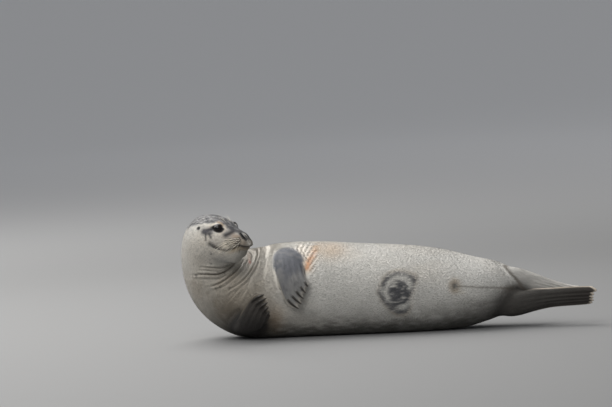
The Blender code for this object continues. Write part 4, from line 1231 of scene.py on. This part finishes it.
def claw_points(limb, across):
    """A curved cone: rings of an oval, taller than wide, that shrink from the root by a root of the way
    left and end in a rounded tip, while the middle rises off the digit as half a sine wave."""
    length, radius, beyond = limb["claw"]
    reach = np.sum(np.linalg.norm(np.diff(np.array(limb["path"]), axis=0), axis=1))
    t = np.linspace(0, 1, CLAW_RINGS) ** 0.8
    run = limb_point(limb, across, 1 - (1 - t) * length / reach, 0.0)
    spine = limb_point(limb, across, 0.9, 1.0) - limb_point(limb, across, 0.9, -1.0)
    heading = unit(run[-1] - run[0])
    spine = unit(spine - spine @ heading * heading)
    depth = (limb_point(limb, across, 1 - (1 - t) * length / reach, 1.0) - run) @ spine
    lift = np.maximum(depth, radius * 0.5) - radius * 0.6 + CLAW_LIFT * np.sin(math.pi * t * 0.8)
    middle = run + lift[:, None] * spine + heading * (beyond * length * t)[:, None]
    turn = np.arange(CLAW_SIDES) * 2 * math.pi / CLAW_SIDES + math.pi / 2
    thinnest = 0.00015
    girth = radius * (0.90 * (1 - t**1.6) ** 0.75 + 0.10 * (1 - t**12))
    section = np.cos(turn)[:, None] * np.cross(heading, spine) + 1.25 * np.sin(turn)[:, None] * spine
    return middle[:, None] + np.maximum(girth, thinnest)[:, None, None] * section[None]


def tube_faces(rings, around, count):
    """Faces of tubes that follow each other in one mesh: each one's wall, and a face over each end."""
    corner_ring, corner_place = tube_corners(rings, around)
    wall = corner_ring * around + corner_place % around
    faces = []
    for first in range(0, count * rings * around, rings * around):
        last = first + (rings - 1) * around
        faces += (wall + first).tolist()
        faces += [list(range(first, first + around)), list(range(last, last + around))[::-1]]
    return faces


horn, tree, shader = finish("claw_horn_finish")
object_place = add_node(tree, "ShaderNodeTexCoord").outputs["Object"]
growth = add_node(tree, "ShaderNodeTexNoise", {
    "Vector": object_place, "Scale": 420.0, "Detail": 3.0, "Roughness": 0.6}).outputs["Fac"]
growth_bump = add_node(tree, "ShaderNodeBump", {"Height": growth, "Strength": 0.25, "Distance": 0.0004})
set_inputs(tree, shader, {
    "Base Color": shade_ramp(tree, growth, (0.35, (0.010, 0.009, 0.008)), (0.72, (0.050, 0.042, 0.034))),
    "Normal": growth_bump.outputs["Normal"], "Roughness": 0.36})
for name, limb in LIMBS.items():
    if not limb["claw"]:
        continue
    claw_rows = [claw_points(limb, across).reshape(-1, 3) for across in digit_places(limb)]
    claw_faces = tube_faces(CLAW_RINGS, CLAW_SIDES, len(claw_rows))
    claws = put(f"claws_{name}", smooth_mesh(f"claws_{name}", np.concatenate(claw_rows), claw_faces, horn))
    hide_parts(*[f"claw_{name}_{number}" for number in range(1, 6)])
    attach(claws, "root")

# ---- Whiskers -----------------------------------------------------------------------------------
# Stiff, pale, flattened hairs, rooted in rows of follicles on the pads beside the nose, with a few
# over each eye. They sweep back and droop.
WHISKER_SIDES, WHISKER_RINGS = 5, 11
BROW_HAIRS = ((0.092, 0.056), (0.097, 0.054), (0.088, 0.053), (0.101, 0.057))  # (back, up)
WHISKER_RADIUS, BROW_HAIR_RADIUS = 0.00068, 0.00030
rng = np.random.default_rng(11)
rooted = []
for mirror in (-1, 1):
    outside = np.flatnonzero((places[:, 1] * mirror > 0.012) & on_face & (normals @ HEAD_LEFT * mirror > 0.1))
    for spot in (*follicles, *BROW_HAIRS):
        on_brow = spot[1] > 0
        root = outside[np.argmin(np.linalg.norm(places[outside][:, [0, 2]] - spot, axis=1))]
        if on_brow:
            rooted.append((root, mirror, 0.045 * rng.uniform(0.7, 1.1), BROW_HAIR_RADIUS, 0.35))
        else:
            length = np.interp(spot[0], (0.013, 0.035, 0.062), (0.018, 0.045, 0.068)) * rng.uniform(0.75, 1.1)
            rooted.append((root, mirror, length, WHISKER_RADIUS, -0.38))
roots, mirrors, lengths, radii, rises = (np.array(column) for column in zip(*rooted))
outward = HEAD_LEFT * mirrors[:, None]
set_off = unit(
    0.50 * normals[roots] + 0.25 * outward - 0.70 * HEAD_FORWARD + rises[:, None] * HEAD_UP
    + rng.normal(0, 0.09, (len(roots), 3))
)
droop = -0.30 * HEAD_UP - 0.16 * HEAD_FORWARD - 0.10 * outward + rng.normal(0, 0.04, (len(roots), 3))
t = np.linspace(0, 1, WHISKER_RINGS)[None, :, None]
stem = points[roots][:, None] - 0.002 * set_off[:, None] + lengths[:, None, None] * (
    set_off[:, None] * t + droop[:, None] * t**2)
heading = unit(set_off[:, None] + 2 * droop[:, None] * t)
flank = unit(np.cross(heading, HEAD_UP))
spine = np.cross(flank, heading)
turn = np.arange(WHISKER_SIDES) * 2 * math.pi / WHISKER_SIDES
girth = radii[:, None, None] * (1 - 0.82 * t**1.3)
whisker_points = stem[:, :, None] + girth[..., None] * (
    1.25 * np.cos(turn)[:, None] * flank[:, :, None] + np.sin(turn)[:, None] * spine[:, :, None])
whisker_faces = tube_faces(WHISKER_RINGS, WHISKER_SIDES, len(roots))
bristle, tree, shader = finish("whisker_bristle")
object_place = add_node(tree, "ShaderNodeTexCoord").outputs["Object"]
waves = add_node(tree, "ShaderNodeTexNoise", {"Vector": object_place, "Scale": 160.0, "Detail": 2.0})
bristle_shade = shade_ramp(
    tree, waves.outputs["Fac"], (0.35, (0.66, 0.58, 0.46)), (0.65, (0.90, 0.86, 0.76)))
set_inputs(tree, shader, {"Base Color": bristle_shade, "Roughness": 0.32})
whiskers = put("whiskers", smooth_mesh("whiskers", whisker_points.reshape(-1, 3), whisker_faces, bristle))
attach(whiskers, "root")

# ---- Coat ---------------------------------------------------------------------------------------
# Short stiff hair, flat to the skin and sleek from nose to tail and down the flippers. Each tuft is a
# thin closed kite: root in the skin, widest before its middle, a low ridge, and a tip just lifted.
lie = -np.stack([np.interp(along, ring_s, forward[:, axis]) for axis in range(3)], axis=1)
for number, limb in enumerate(LIMBS.values(), 1):
    here = region == number
    start = np.clip(place[here, 0], 0, 0.985)
    lie[here] = limb_point(limb, place[here, 1], start + 0.015, side[here]) - limb_point(
        limb, place[here, 1], start, side[here])
lie = unit(lie - np.sum(lie * normals, axis=1, keepdims=True) * normals)

joined.calc_loop_triangles()
corners = mesh_array(joined.loop_triangles, "loops", 3, np.int32)
corner_vertex = mesh_array(joined.loops, "vertex_index", 1, np.int32)
bake_map = mesh_array(joined.uv_layers["OFBake"].data, "uv", 2)
triangles = corner_vertex[corners]
face_area = mesh_array(joined.loop_triangles, "area", 1)
middle_s = along[triangles].max(axis=1)
on_limb = region[triangles].max(axis=1) > 0
furred = 1 - np.clip(bare[triangles].max(axis=1) * 2, 0, 1)
furred *= (eye_ring[triangles].min(axis=1) > 1.25) & (middle_s < PLACE_OF["nose"])
furred *= ~(on_limb & (place[triangles, 0].max(axis=1) > 0.975))
on_trunk = np.interp(middle_s, (1.02, 1.15, 1.33, 1.42), (120e3, 190e3, 260e3, 340e3))
per_square_metre = np.where(on_limb, 170e3, on_trunk)
share = np.cumsum(face_area * furred * per_square_metre)
TUFTS = int(share[-1])
picked = np.searchsorted(share, (np.arange(TUFTS) + rng.random(TUFTS)) / TUFTS * share[-1])
picked = np.minimum(picked, len(triangles) - 1)
weights = rng.dirichlet((1, 1, 1), TUFTS)


def at_roots(field):
    """The field's value at each tuft's root, blended from the three points of the skin around it."""
    return np.einsum("ij,ij...->i...", weights, field[triangles[picked]])


root, upright, run = at_roots(points), unit(at_roots(normals)), unit(at_roots(lie))
colour, root_place, root_s = at_roots(pigment_and_shade), at_roots(texture_place), at_roots(along)
root_bake = np.einsum("ij,ijk->ik", weights, bake_map[corners[picked]])
limb_tuft = on_limb[picked]
swerve = rng.normal(0, math.radians(7), TUFTS)[:, None]
flank = np.cross(upright, run)
run = np.cos(swerve) * run + np.sin(swerve) * flank
flank = np.cross(upright, run)
length, width, lift = (
    np.where(limb_tuft, on_limbs, np.interp(root_s, (1.0, 1.2, 1.36, 1.45, 1.52), on_trunk))
    for on_limbs, on_trunk in (
        (0.0065, (0.0130, 0.0095, 0.0066, 0.0036, 0.0024)),
        (0.0011, (0.0015, 0.0013, 0.0011, 0.0009, 0.0006)),
        (0.00026, (0.00016, 0.00019, 0.00022, 0.0001975, 0.00018)),
    )
)
tip_share = np.where(limb_tuft, at_roots(place[:, 0]), 0)
length *= rng.uniform(0.72, 1.28, TUFTS) * (1 - 0.75 * rise(tip_share, 0.75, 0.97))
width *= rng.uniform(0.75, 1.25, TUFTS)
lift *= rng.uniform(0.6, 1.3, TUFTS)
ridge = 0.05 * width
profile = (  # how far along, how far to the side, how high: root, left, right, ridge, tip
    (0.00, 0.0, -0.35), (0.38, 0.5, 0.45), (0.38, -0.5, 0.45), (0.45, 0.0, 0.55), (1.00, 0.0, 1.00))
tuft_points = np.stack([
    root + run * (step * length)[:, None] + flank * (reach * width)[:, None]
    + upright * (high * lift + (ridge if number == 3 else 0))[:, None]
    for number, (step, reach, high) in enumerate(profile)
], axis=1)
OFF_FLOOR = 0.0003
tuft_points[..., 2] = np.maximum(tuft_points[..., 2], OFF_FLOOR)
tuft_faces = np.array(((0, 2, 3), (2, 4, 3), (4, 1, 3), (1, 0, 3), (0, 1, 4), (0, 4, 2)))
PATCH = 0.003  # a tuft's share of the bake map
patch_places = np.array(((0.0, -0.5), (-0.4, 0.0), (0.4, 0.0), (0.0, 0.0), (0.0, 0.5))) * PATCH
speckle = np.where(rng.random(TUFTS) < 0.5, -0.62, 0.48) * at_roots(grizzle)
colour = colour * ((1 + speckle) * rng.uniform(0.93, 1.07, TUFTS))[:, None]
colour = colour * np.where(rng.random(TUFTS) < 0.03, 0.80, 1.0)[:, None]
# Painted shade and highlight: each tuft darker at its root and paler on its ridge and tip.
shade = np.array((0.90, 0.97, 0.97, 1.03, 1.06))[None, :, None]  # root, left, right, ridge, tip

coat_finish = hairy_finish("coat_hair", 0.18, 0.40)[0]

bands = (("hips", 0.0, 0.32), ("belly", 0.32, 0.52), ("midriff", 0.52, 0.70), ("ribs", 0.70, 0.88),
         ("chest", 0.88, 1.06), ("neck", 1.06, 1.20), ("throat", 1.20, 1.33), ("head", 1.33, 9.0))
groups = [(f"coat_{name}", ~limb_tuft & (root_s >= low) & (root_s < high)) for name, low, high in bands]
groups.append(("coat_flippers", limb_tuft))
for name, chosen in groups:
    number = int(chosen.sum())
    coat_mesh = bpy.data.meshes.new(name)
    coat_mesh.vertices.add(5 * number)
    coat_mesh.loops.add(18 * number)
    coat_mesh.polygons.add(6 * number)
    corner = (tuft_faces[None] + 5 * np.arange(number)[:, None, None]).ravel().astype(np.int32)
    coat_mesh.vertices.foreach_set("co", (tuft_points[chosen] - MIDDLE).astype(np.float32).ravel())
    coat_mesh.loops.foreach_set("vertex_index", corner)
    coat_mesh.polygons.foreach_set("loop_start", np.arange(0, 18 * number, 3, dtype=np.int32))
    coat_mesh.update(calc_edges=True)
    bake = np.clip(root_bake[chosen][:, None] + patch_places, 0, 1).reshape(-1, 2)
    coat_mesh.uv_layers.new(name="OFBake").data.foreach_set("uv", bake[corner].astype(np.float32).ravel())
    tones = np.clip(colour[chosen][:, None] * shade, 0, 0.92).reshape(-1, 3)
    keep(coat_mesh, "Pigment_and_shade", opaque(tones))
    keep(coat_mesh, "Straight", np.repeat(root_place[chosen], 5, axis=0))
    coat_mesh.materials.append(coat_finish)
    coat = put(name, coat_mesh)
    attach(coat, "root")
